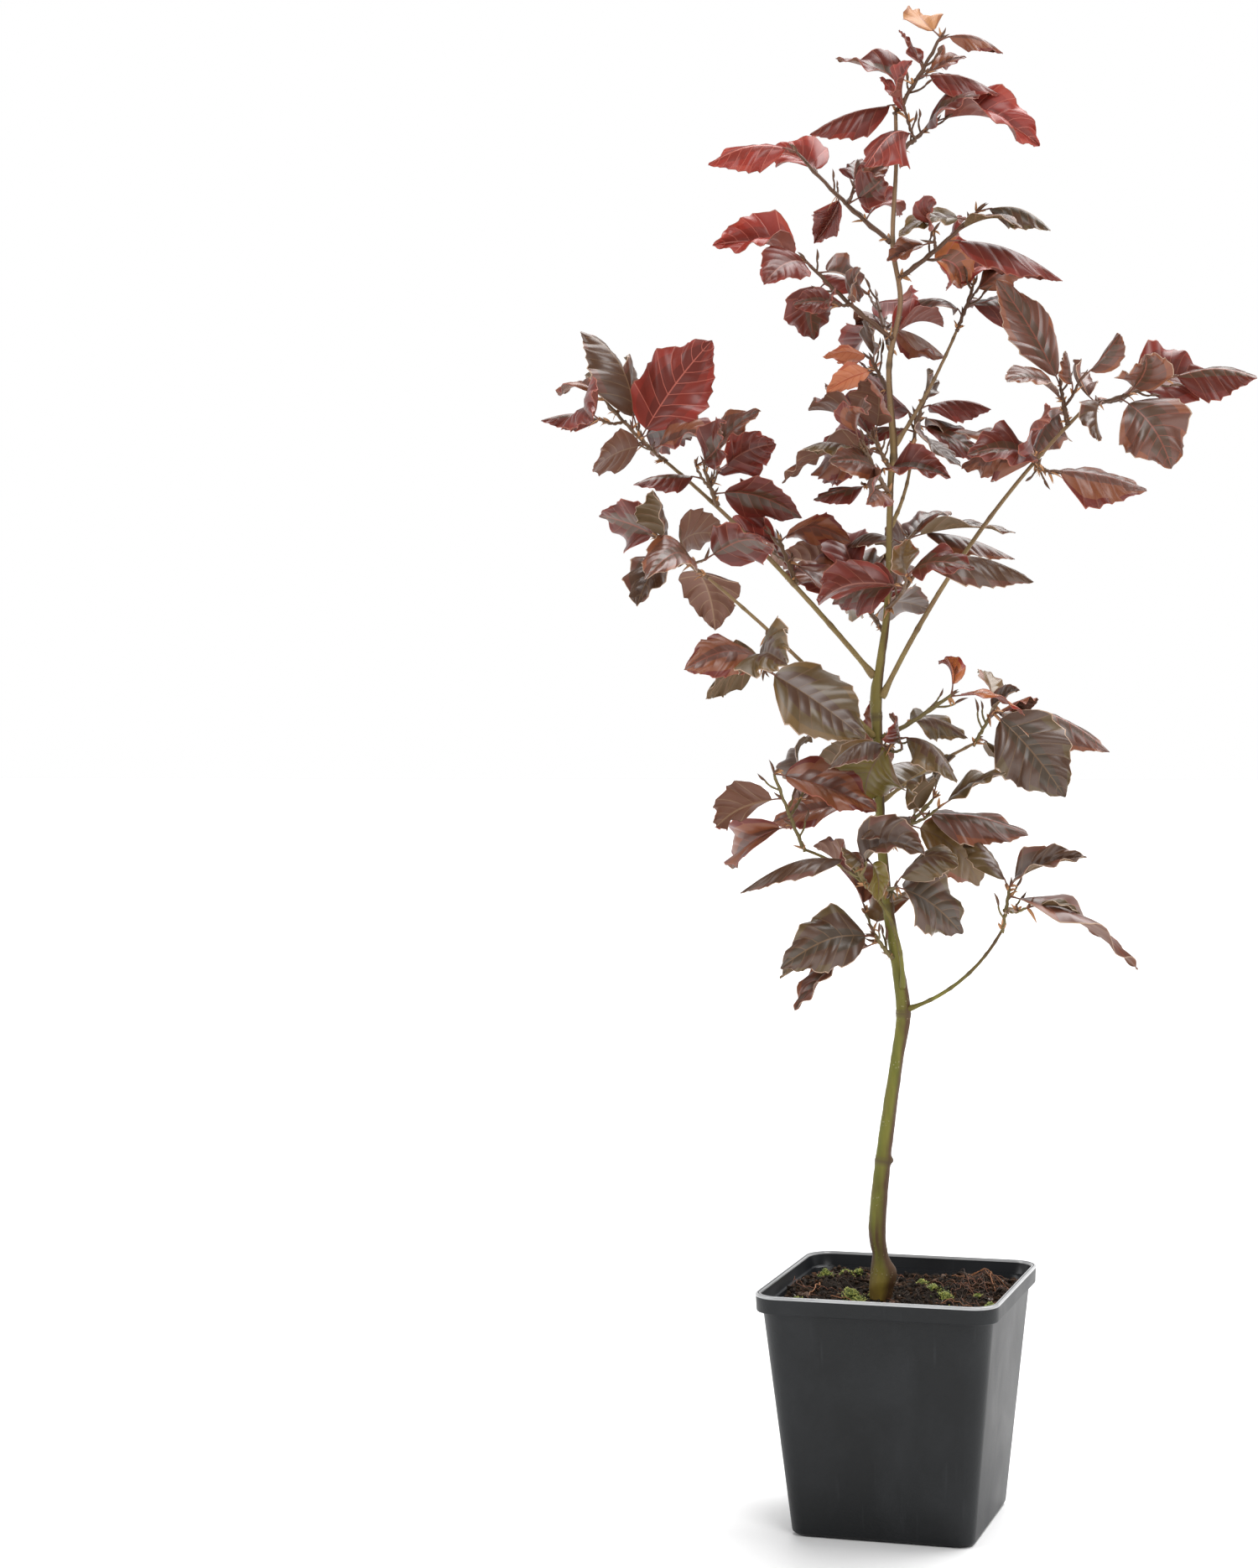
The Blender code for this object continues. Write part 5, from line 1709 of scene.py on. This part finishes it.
    def tint(self, column: int, row: int) -> Tint:
        """Choose the tint of one face.

        Args:
            column: Its column, counted from the left edge.
            row: Its row, counted from the foot.

        Returns:
            The tint.
        """
        dress, middle, pitch = self.dress, len(self.columns) - 1, len(self.phases)
        away = abs(column - middle)
        if away == middle:
            return dress.margin
        if away == 0 or (row % pitch == 0 and 0 < row < self.veins * pitch):
            return dress.vein
        panel = (row // pitch) * 4 + (2 if column > middle else 0)
        if away == 1 or (away == 2 and self.patches[panel] < 0.35):
            return dress.centre
        if away == middle - 1 and self.patches[panel + 1] < 0.6:
            return dress.edge
        return dress.blade


@dataclass
class Foliage:
    """All the masses: their leaves dressed by height and by the settled looks, and their wood."""

    growth: Growth
    twig_share: float = 0.8  # length of a side twig's leaves as a share of the grown leaf's
    sparse_share: float = 0.55  # the same in a sparse mass
    least_depth: float = 0.45  # how far a leaf that stays as grown points to the front or the back

    def build(self) -> None:
        """Build the leaves and the wood of each mass."""
        for spray in SPRAYS:
            mass = self.growth.masses[spray.name]
            kind, looks, bark = self.zone(spray)
            rng = Random("foliage_" + spray.name)
            work = Work("leaves_" + spray.name)
            settled = SETTLED.get(spray.name, {})
            for order, leaf in mass.leaves:
                sparse = order < 0 and spray.name in SPARSE
                depth = abs((leaf.tip - leaf.root).normalized().dot(BACK))
                along_sight = depth > self.least_depth and not sparse
                share = self.sparse_share if sparse else self.twig_share if order < 0 else 1.0
                manner = settled.get(order) or self.manner(looks, share, along_sight, rng)
                Blade(leaf, manner, rng).build(work)
            work.done(kind, "foliage_" + spray.name)
            TwigKit(spray.name, mass, bark, rng).build()

    @staticmethod
    def manner(looks: dict[Look, int], share: float, along_sight: bool, rng: Random) -> Manner:
        """Draw the manner of a leaf that has none of its own.

        Args:
            looks: The looks at its height, each with how often it comes up.
            share: Its length as a share of the grown leaf's.
            along_sight: Whether it points to the front or the back, and so stays as grown.
            rng: Seeded choices.

        Returns:
            Its manner.
        """
        look, bend = (rng.choices(list(often), list(often.values()))[0] for often in (looks, BENDS))
        if along_sight:
            return Manner(look, bend)
        turns = None
        if rng.random() < 0.5:
            foot = rng.uniform(45, 90)
            turns = (foot, foot + rng.uniform(-45, 20))
        return Manner(look, bend, turns, rng.uniform(0.85, 1.15), share)

    def zone(self, spray: Spray) -> tuple[str, dict[Look, int], Finish]:
        """Find what a mass's height gives it.

        Args:
            spray: The mass.

        Returns:
            The record's material slot, the looks of its leaves and the finish of its wood.
        """
        height = spray.height or self.growth.limbs[spray.limb].points[-1].z / MM
        if height > TOP_FOLIAGE_FROM:
            return "leaves_top", TOP_LOOKS, TWIG_DARK
        if height < LOW_FOLIAGE_BELOW:
            return "leaves_low", LOW_LOOKS, TWIG_OLIVE
        return "leaves_middle", MIDDLE_LOOKS, TWIG_BROWN


# ---- pot and compost


@dataclass
class Pot:
    """A thin square nursery pot with a rim band, an inner ledge and drain holes. Sizes in mm."""

    height: float = 90.0
    rim_width: float = 90.0
    rim_band: float = 6.6
    body_top_width: float = 85.2
    foot_width: float = 68.0
    wall: float = 1.2
    floor: float = 1.6
    ledge_depth: float = 5.2
    mouth_width: float = 87.0
    corner: float = 9.5
    corner_tightens: float = 1 / 6
    corner_steps: int = 12
    drain: float = 8.0
    drain_from_middle: float = 19.0
    crisp_from: float = radians(50)  # the shading stays crisp at edges sharper than this

    def wall_width(self, height: float) -> float:
        """The body's outer width at a height."""
        widens = self.body_top_width - self.foot_width
        return self.foot_width + widens * height / (self.height - self.rim_band)

    def ring(self, work: Work, width: float, height: float) -> list[bmesh.types.BMEdge]:
        """Lay a square with round corners.

        Args:
            work: The piece.
            width: Its width in mm.
            height: Its height in mm.

        Returns:
            Its edges in the piece's mesh.
        """
        corner = self.corner - (self.rim_width - width) * self.corner_tightens
        flat = bmesh.new()
        bmesh.ops.create_grid(flat, x_segments=1, y_segments=1, size=width / 2 * MM)
        bmesh.ops.bevel(
            flat, geom=list(flat.verts), offset=corner * MM, offset_type="OFFSET", segments=self.corner_steps,
            profile=0.5, affect="VERTICES", material=-1,
        )
        bmesh.ops.translate(flat, verts=flat.verts, vec=UP * height * MM)
        bmesh.ops.delete(flat, geom=list(flat.faces), context="FACES_ONLY")
        before = set(work.bm.edges)
        work.take(as_mesh("ring", flat))
        return [edge for edge in work.bm.edges if edge not in before]

    def profile(self) -> tuple[tuple[float, float, Finish], ...]:
        """Width and height of each ring, from the foot up and in again, and the finish above it."""
        rim, mouth, body = self.rim_width, self.mouth_width, self.body_top_width
        top, band, ledge = self.height, self.height - self.rim_band, self.height - self.ledge_depth
        thick = 2 * self.wall
        foot = self.wall_width(1.5)
        outside = [
            (foot - 3.1, 0.0), (foot - 1.5, 0.3), (foot - 0.4, 0.9),
            *((self.wall_width(up), up) for up in (1.7, 20.0, 42.0, 64.0, band - 0.35)),
            (body + 0.25, band - 0.1), (body + 0.9, band), (rim - 1.3, band), (rim - 0.8, band + 0.12),
            (rim - 0.55, band + 0.5),
        ]
        # The lip's rounded edges are painted pale: a painted highlight on black plastic.
        lip = (
            (rim - 0.15, top - 1.0, POT_RIM_PAINTED_HIGHLIGHT), (rim, top - 0.55, POT_RIM_PAINTED_HIGHLIGHT), (rim - 0.15, top - 0.2, POT_RIM_PAINTED_HIGHLIGHT),
            (rim - 0.7, top, POT_RIM_PAINTED_HIGHLIGHT), (rim - 1.3, top, POT_INSIDE), (mouth + 0.7, top - 0.1, POT_RIM_PAINTED_HIGHLIGHT),
            (mouth + 0.2, top, POT_RIM_PAINTED_HIGHLIGHT), (mouth - 0.1, top - 0.25, POT_RIM_PAINTED_HIGHLIGHT),
        )
        inside = [
            (mouth - 0.4, top - 0.8), (mouth - 1.1, ledge + 0.35), (mouth - 1.5, ledge + 0.05),
            (self.wall_width(ledge) - thick + 0.5, ledge), (self.wall_width(ledge) - thick, ledge - 0.4),
            (self.wall_width(40.0) - thick, 40.0), (self.wall_width(self.floor) - thick, self.floor),
        ]
        outside, inside = [(*row, POT_OUTSIDE) for row in outside], [(*row, POT_INSIDE) for row in inside]
        return (*outside, *lip, *inside)

    def build(self) -> None:
        """Build the pot as one closed shell, with ribs inside its mouth, and cut its drain holes."""
        work = Work("nursery_pot")
        profile = self.profile()
        first = below = self.ring(work, *profile[0][:2])
        for (_, _, finish), (width, height, _) in zip(profile, profile[1:]):
            above = self.ring(work, width, height)
            faces = bmesh.ops.bridge_loops(work.bm, edges=below + above)["faces"]
            work.dress(faces, finish)
            below = above
        for edges, finish in ((first, POT_OUTSIDE), (below, POT_INSIDE)):
            made = bmesh.ops.contextual_create(work.bm, geom=edges)["faces"]
            work.dress(made, finish, smooth=False)
        bmesh.ops.recalc_face_normals(work.bm, faces=work.bm.faces)
        self.ribs(work)
        piece = work.done("pot", "pot")
        self.cut_drains(piece)
        piece.data.set_sharp_from_angle(angle=self.crisp_from)

    def ribs(self, work: Work) -> None:
        """Add the short upright stacking ribs on the inner wall, two on each side."""
        length, thick, deep = 9.0, 0.7, 0.9
        middle = self.height - self.ledge_depth - length / 2 - 0.6
        half = self.wall_width(middle) / 2 - self.wall - deep * 0.2
        for quarter in range(4):
            turn = Matrix.Rotation(quarter * pi / 2, 4, "Z")
            for way in (-1, 1):
                place = turn @ Matrix.Translation(Vector((way * half * 0.42, half, middle)) * MM)
                size = Matrix.Diagonal((thick * MM, deep * MM, length * MM, 1.0))
                cube = bmesh.ops.create_cube(work.bm, size=1.0, matrix=place @ size)
                faces = list({face for vert in cube["verts"] for face in vert.link_faces})
                edges = list({edge for face in faces for edge in face.edges})
                work.dress(faces, POT_INSIDE, smooth=False)
                bmesh.ops.bevel(
                    work.bm, geom=edges, offset=0.2 * MM, offset_type="OFFSET", segments=2, profile=0.5,
                    affect="EDGES", material=-1,
                )

    def cut_drains(self, piece: bpy.types.Object) -> None:
        """Cut four round drain holes through the floor.

        Args:
            piece: The pot.
        """
        holes = bmesh.new()
        for x_way in (-1, 1):
            for y_way in (-1, 1):
                away, radius = self.drain_from_middle, self.drain / 2 * MM
                middle = Matrix.Translation(Vector((x_way * away, y_way * away, self.floor / 2)) * MM)
                bmesh.ops.create_cone(
                    holes, cap_ends=True, segments=32, radius1=radius, radius2=radius,
                    depth=3 * self.floor * MM, matrix=middle,
                )
        cutter = show("drains", as_mesh("drains", holes))
        modifier = piece.modifiers.new("drains", "BOOLEAN")
        modifier.operation = "DIFFERENCE"
        modifier.solver = "EXACT"
        modifier.object = cutter
        bpy.context.view_layer.update()
        cut = piece.evaluated_get(bpy.context.evaluated_depsgraph_get())
        result = bpy.data.meshes.new_from_object(cut)
        piece.modifiers.clear()
        old, piece.data = piece.data, result
        used = cutter.data
        bpy.data.objects.remove(cutter)
        bpy.data.meshes.remove(used)
        bpy.data.meshes.remove(old)
        result.name = "nursery_pot"


@dataclass
class Compost:
    """The compost in the pot: an uneven surface with crumbs, chips, grit, roots and moss. Sizes in mm."""

    pot: Pot
    level: float = 82.0
    heap: float = 1.6
    seat: float = 8.0  # radius round the trunk that is level
    clods: float = 1.5  # roughness of the surface
    cells: int = 110
    crumbs: int = 6400
    chips: int = 34
    grit: int = 70
    roots: int = 170
    thick_roots: tuple[tuple[float, float, float, int, float], ...] = (
        (-31, 3, -1.3, 14, 0.28), (-24, -12, -0.5, 9, 0.22), (6, -20, -0.4, 15, 0.30),
        (16, -9, 0.5, 12, 0.22), (20, 27, -0.6, 12, 0.22), (33, 18, 1.9, 13, 0.20), (12, 31, 0.1, 16, 0.18),
        (-6, 18, 2.4, 9, 0.24),
    )  # each thick root: where it starts, its bearing, its steps and its radius
    tufts: tuple[tuple[float, float, float], ...] = (
        (-32, 16, 3.6), (-26, 24, 3.2), (-20, 20, 2.6), (-15, -10, 4.8), (-19, -2, 3.6), (-11, -17, 4.0),
        (-10, 2, 2.6), (11, 10, 3.4), (17, 4, 3.8), (22, -14, 2.6), (34, -26, 3.6), (37, -14, 3.0),
        (4, 21, 2.8), (9, -22, 2.0), (28, 8, 2.2), (-34, -20, 2.4),
    )  # each cushion of moss: its place and its spread

    @staticmethod
    def from_trunk(x: float, y: float) -> float:
        """How far a place is from the trunk's foot, all in mm."""
        trunk = plant(*TRUNK[0][:3]) / MM
        return hypot(x - trunk.x, y - trunk.y)

    def height(self, x: float, y: float) -> float:
        """The ground's height at a place, all in mm, before its clods."""
        swell = sin(x * 0.13 + 1.0) * cos(y * 0.11) + 0.5 * sin(x * 0.31 - y * 0.27)
        free = clamp(self.from_trunk(x, y) / self.seat - 1)
        return self.level + self.heap * swell * free**2

    def surface(self, x: float, y: float) -> float:
        """The surface's height at a place, with its clods and heaps, in mm."""
        free = clamp(self.from_trunk(x, y) / 6 - 0.9)
        rough = noise.noise(Vector((x * 0.16, y * 0.16, 1.7))) * 1.3
        rough += noise.noise(Vector((x * 0.45, y * 0.45, 5.2)))
        heaps = 4.0 * hump(x + 30, 15) * hump(y - 8, 26)
        heaps += 3.4 * hump(x - 14, 16) * hump(y - 24, 15)
        return self.height(x, y) + self.clods * rough * (0.25 + 0.75 * free) + heaps * free

    def inside(self, rng: Random, margin: float = 1.0) -> tuple[float, float]:
        """A seeded place on the surface that keeps off the pot and the trunk.

        Args:
            rng: Seeded choices.
            margin: How far it keeps off the wall.

        Returns:
            Its x and y in mm.
        """
        half = self.pot.wall_width(self.level) / 2 - self.pot.wall - 0.4 - margin
        corner = 7.0
        while True:
            x, y = rng.uniform(-half, half), rng.uniform(-half, half)
            over_x, over_y = abs(x) - (half - corner), abs(y) - (half - corner)
            if over_x > 0 and over_y > 0 and hypot(over_x, over_y) > corner:
                continue
            if self.from_trunk(x, y) > 5.0 + margin * 0.5:
                return x, y

    def on_top(self, x: float, y: float, up: float) -> Vector:
        """The point that stands some mm above the surface at a place, in metres."""
        return Vector((x, y, self.surface(x, y) + up)) * MM

    def build(self) -> None:
        """Build the ground and everything that lies on it."""
        self.ground()
        crumbs = {CRUMB_DARK: 7, CRUMB_BROWN: 5, CRUMB_WARM: 1}
        self.lumps("compost_crumbs", self.crumbs, (0.18, 1.25), crumbs)
        self.lumps("compost_grit", self.grit, (0.3, 0.75), {GRIT_PALE: 1})
        self.bark_chips()
        self.root_fibres()
        self.moss()

    def ground(self) -> None:
        """Build the body of compost down to the pot's floor."""
        work = Work("compost")
        gap = 2 * (self.pot.wall + 0.3)
        half = (self.pot.wall_width(self.level) - gap) / 2
        corner = self.pot.corner - (self.pot.rim_width - 2 * half) * self.pot.corner_tightens
        grid = bmesh.ops.create_grid(work.bm, x_segments=self.cells, y_segments=self.cells, size=1.0)["verts"]
        for vert in grid:
            x, y = self.rounded(vert.co.x, vert.co.y, half, corner)
            vert.co = Vector((x, y, self.surface(x, y))) * MM
        work.dress(list(work.bm.faces), SOIL)
        rim = [edge for edge in work.bm.edges if edge.is_boundary]
        down = bmesh.ops.extrude_edge_only(work.bm, edges=rim)["geom"]
        low = [item for item in down if isinstance(item, bmesh.types.BMVert)]
        foot_half = (self.pot.wall_width(self.pot.floor) - gap) / 2
        for vert in low:
            x, y, _ = vert.co * foot_half / half
            vert.co = Vector((x, y, (self.pot.floor + 0.3) * MM))
        bottom = [item for item in down if isinstance(item, bmesh.types.BMEdge) and item.is_boundary]
        bmesh.ops.holes_fill(work.bm, edges=bottom, sides=0)
        bmesh.ops.recalc_face_normals(work.bm, faces=work.bm.faces)
        work.dress(list(work.bm.faces), SOIL)
        work.done("soil", "soil")

    @staticmethod
    def rounded(x: float, y: float, half: float, corner: float) -> tuple[float, float]:
        """Move a place in the unit square to its place in a square with round corners, in mm."""
        reach = max(abs(x), abs(y))
        if reach == 0:
            return 0.0, 0.0
        x, y = x / reach * half, y / reach * half
        over_x, over_y = abs(x) - (half - corner), abs(y) - (half - corner)
        if over_x > 0 and over_y > 0:
            long = hypot(over_x, over_y)
            pull = corner / long
            x = copysign(half - corner + over_x * pull, x)
            y = copysign(half - corner + over_y * pull, y)
        return x * reach, y * reach

    def lumps(self, name: str, count: int, size: tuple[float, float], finishes: dict[Finish, int]) -> None:
        """Scatter small uneven lumps, half sunk.

        Args:
            name: The piece's name.
            count: How many.
            size: Smallest and largest radius.
            finishes: Their finishes, each with how often it comes up.
        """
        work = Work(name)
        rng = Random(name)
        lump = bmesh.new()
        bmesh.ops.create_icosphere(lump, subdivisions=1, radius=1.0)
        for vert in lump.verts:
            vert.co *= rng.uniform(0.72, 1.2)
        slots = [work.slot(finish) for finish in finishes]
        places, chosen = [], []
        for _ in range(count):
            x, y = self.inside(rng, 0.6)
            radius = size[0] + (size[1] - size[0]) * rng.random() ** 3.5
            axes = tuple(radius * MM * rng.uniform(0.6, 1.25) for _ in range(3))
            turn = Matrix.Rotation(rng.uniform(0, tau), 4, any_way(rng).normalized())
            place = Matrix.Translation(self.on_top(x, y, radius * 0.25))
            places.append(place @ turn @ Matrix.Diagonal((*axes, 1.0)))
            chosen.append(rng.choices(slots, list(finishes.values()))[0])
        work.take(copies(lump, places, chosen))
        work.done("soil")

    def bark_chips(self) -> None:
        """Scatter flat chips of composted bark."""
        work = Work("compost_chips")
        rng = Random("chips")
        for number in range(self.chips):
            x, y = self.inside(rng, 3.0)
            long, wide, thick = rng.uniform(1.6, 5.0), rng.uniform(1.0, 2.6), rng.uniform(0.4, 0.9)
            place = Matrix.Translation(self.on_top(x, y, thick * 0.5))
            nod, lean = (Matrix.Rotation(rng.uniform(-0.5, 0.5), 4, axis) for axis in "XY")
            turn = place @ Matrix.Rotation(rng.uniform(0, tau), 4, "Z") @ (nod @ lean)
            size = Matrix.Diagonal((long * MM, wide * MM, thick * MM, 1.0))
            before = set(work.bm.verts)
            bmesh.ops.create_cube(work.bm, size=1.0, matrix=turn @ size)
            edges = list({edge for vert in work.bm.verts if vert not in before for edge in vert.link_edges})
            bmesh.ops.subdivide_edges(work.bm, edges=edges, cuts=2, use_grid_fill=True)
            verts = [vert for vert in work.bm.verts if vert not in before]
            for vert in verts:
                vert.co += noise.noise_vector(vert.co * 700.0 + Vector((number, 0, 0))) * 0.32 * MM
            faces = list({face for vert in verts for face in vert.link_faces})
            work.dress(faces, CHIP_RED if rng.random() < 0.35 else CHIP_BROWN, smooth=False)
        work.done("soil")

    def root_fibres(self) -> None:
        """Lay fine curly roots over the surface, more of them to the right and the back."""
        work = Work("compost_roots")
        rng = Random("roots")
        for _ in range(self.roots):
            x, y = self.inside(rng, 3.0)
            if rng.random() < 0.35:
                x, y = rng.gauss(26.0, 6.0), rng.gauss(20.0, 9.0)
            bearing = rng.uniform(0, tau)
            half = self.pot.wall_width(self.level) / 2 - self.pot.wall - 1.2
            points = []
            lift = rng.uniform(0.2, 1.6)
            steps = rng.randint(9, 18)
            for step in range(steps + 1):
                x = min(max(x, -half), half)
                y = min(max(y, -half), half)
                arch = sin(pi * step / steps)
                points.append(self.on_top(x, y, 0.1 + lift * arch * rng.uniform(0.6, 1.4)))
                bearing += rng.uniform(-0.75, 0.75)
                x += cos(bearing) * 1.25
                y += sin(bearing) * 1.25
            thick = rng.uniform(0.09, 0.2) * MM
            radii = [thick * (1.0 - 0.6 * step / steps) for step in range(steps + 1)]
            Tube(points, radii, 4).build(work, FIBRE_PINK if rng.random() < 0.45 else FIBRE_DARK)
        for x, y, bearing, length, thick in self.thick_roots:
            points = []
            for step in range(length + 1):
                arch = sin(pi * step / length)
                points.append(self.on_top(x, y, 0.1 + 2.2 * arch))
                bearing += rng.uniform(-0.35, 0.4)
                x += cos(bearing) * 1.5
                y += sin(bearing) * 1.5
            radii = [thick * MM * (1.0 - 0.5 * step / length) for step in range(length + 1)]
            Tube(points, radii, 6).build(work, ROOT_ORANGE)
        work.done("soil")

    def moss(self) -> None:
        """Grow small cushions of moss, each of short blunt leaflets."""
        work = Work("compost_moss")
        rng = Random("moss")
        leaflet = bmesh.new()
        bmesh.ops.create_icosphere(leaflet, subdivisions=1, radius=1.0)
        bmesh.ops.translate(leaflet, verts=leaflet.verts, vec=UP)
        slots = [work.slot(MOSS_BRIGHT), work.slot(MOSS_DEEP)]
        places, chosen = [], []
        for middle_x, middle_y, spread in self.tufts:
            for _ in range(int(60 * spread)):
                far = abs(rng.gauss(0, 0.5)) * spread
                bearing = rng.uniform(0, tau)
                x, y = middle_x + far * cos(bearing), middle_y + far * sin(bearing)
                mound = 0.45 * spread * hump(far, spread) ** 2
                way = Vector((cos(bearing) * far / spread, sin(bearing) * far / spread, 0.9))
                way += shift(rng, 0.45)
                turn = way.to_track_quat("Z", "Y").to_matrix().to_4x4()
                long, thick = rng.uniform(0.3, 0.75) * MM, rng.uniform(0.22, 0.5) * MM
                place = Matrix.Translation(self.on_top(x, y, mound - 0.2))
                places.append(place @ turn @ Matrix.Diagonal((thick, thick * 0.6, long, 1.0)))
                chosen.append(rng.choices(slots, (2, 3))[0])
        work.take(copies(leaflet, places, chosen))
        work.done("soil")


# ---- studio


@dataclass
class Studio:
    """A pale floor, soft light all round, and the camera at the plant's broad side."""

    floor_size: float = 12.0
    camera_rise: float = radians(2.57)
    camera_roll: float = radians(-0.72)
    camera_place: Triple = (0.2615, -1.1348, 0.3273)
    sensor: float = 36.0
    lens: float = 3750 * 36 / 1870
    rise_fall: tuple[float, float, float, float] = (0.25, 0.5, 1.0, 0.25)  # the surround is dimmer higher up
    depth_fall: tuple[float, float, float, float] = (-0.6, 0.2, 0.42, 1.0)  # and in front
    aim_height: float = 0.28  # where the square lights look
    top_light: float = 4.2
    top_spread: float = radians(55)

    def build(self) -> None:
        """Build the floor, the lights and the camera."""
        self.floor()
        self.light("key", (0.75, -0.95, 1.25), 0.7, 10.0)
        self.light("left", (-1.1, -0.75, 0.95), 0.8, 6.0)
        self.overhead()
        self.world()
        self.camera()

    def floor(self) -> None:
        """Lay the floor just under the pot."""
        bm = bmesh.new()
        bmesh.ops.create_grid(bm, x_segments=2, y_segments=2, size=self.floor_size / 2)
        bmesh.ops.translate(bm, verts=bm.verts, vec=UP * -0.0004)
        floor = show("studio_floor", as_mesh("studio_floor", bm))
        floor.data.materials.append(FLOOR.material())

    def light(self, name: str, place: Triple, size: float, power: float) -> None:
        """Hang a soft square light that faces the plant.

        Args:
            name: Its name.
            place: Where it hangs, in metres.
            size: Its width in metres.
            power: Its power in watts.
        """
        data = bpy.data.lights.new(name, "AREA")
        data.shape = "SQUARE"
        data.size = size
        data.energy = power
        lamp = show(name, data)
        lamp.location = place
        lamp.rotation_euler = (UP * self.aim_height - Vector(place)).to_track_quat("-Z", "Y").to_euler()

    def overhead(self) -> None:
        """Spread an even soft light from above, a little from the back."""
        data = bpy.data.lights.new("overhead", "SUN")
        data.energy = self.top_light
        data.angle = self.top_spread
        show("overhead", data).rotation_euler = plant(-0.25, -0.3, -1.0).to_track_quat("-Z", "Y").to_euler()

    def world(self) -> None:
        """Light from a white surround, dimmer higher up and in front, and show tones as they are."""
        world = bpy.data.worlds.new("studio")
        world.use_nodes = True
        nodes = Nodes(world.node_tree, world.node_tree.nodes["Background"])
        falls = []
        for aim, fall in ((UP, self.rise_fall), (BACK, self.depth_fall)):
            way = nodes.new("TexCoord", {}).outputs["Generated"]
            reach = nodes.new("VectorMath", {0: way, 1: aim}, operation="DOT_PRODUCT").outputs["Value"]
            falls.append(nodes.between(reach, *fall))
        seen = nodes.new("LightPath", {}).outputs["Is Camera Ray"]  # the backdrop itself stays plain white
        nodes.feed(nodes.shader, {"Color": nodes.both("MAXIMUM", nodes.both("MULTIPLY", *falls), seen)})
        bpy.context.scene.world = world
        bpy.context.scene.view_settings.view_transform = "Standard"

    def camera(self) -> None:
        """Set the camera and make it the scene's."""
        rise, roll = self.camera_rise, self.camera_roll
        back = UP * sin(rise) - BACK * cos(rise)
        right = (-back).cross(UP).normalized()
        up = right.cross(-back)
        rolled_right = right * cos(roll) + up * sin(roll)
        rolled_up = up * cos(roll) - right * sin(roll)
        data = bpy.data.cameras.new("camera")
        data.sensor_width = self.sensor
        data.sensor_fit = "AUTO"
        data.lens = self.lens
        data.clip_start = 0.01
        camera = show("camera", data)
        matrix = Matrix((rolled_right, rolled_up, back)).transposed().to_4x4()
        matrix.translation = Vector(self.camera_place)
        camera.matrix_world = matrix
        bpy.context.scene.camera = camera


def main() -> None:
    """Load the frame, build every piece and note both sizes."""
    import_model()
    noise.seed_set(1)  # without a seed its vectors differ from run to run
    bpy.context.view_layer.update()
    growth = Growth()
    growth.grow()
    leaves = sum(len(mass.leaves) for mass in growth.masses.values())
    LOG.info("grown: %d limbs, %d leaves", len(growth.limbs), leaves)
    pot = Pot()
    for part in (pot, Compost(pot), Bark(growth), Foliage(growth), Studio()):
        LOG.info("building %s", type(part).__name__)
        part.build()


if __name__ == "__main__":
    logging.basicConfig(level=logging.INFO, format="%(message)s")
    main()
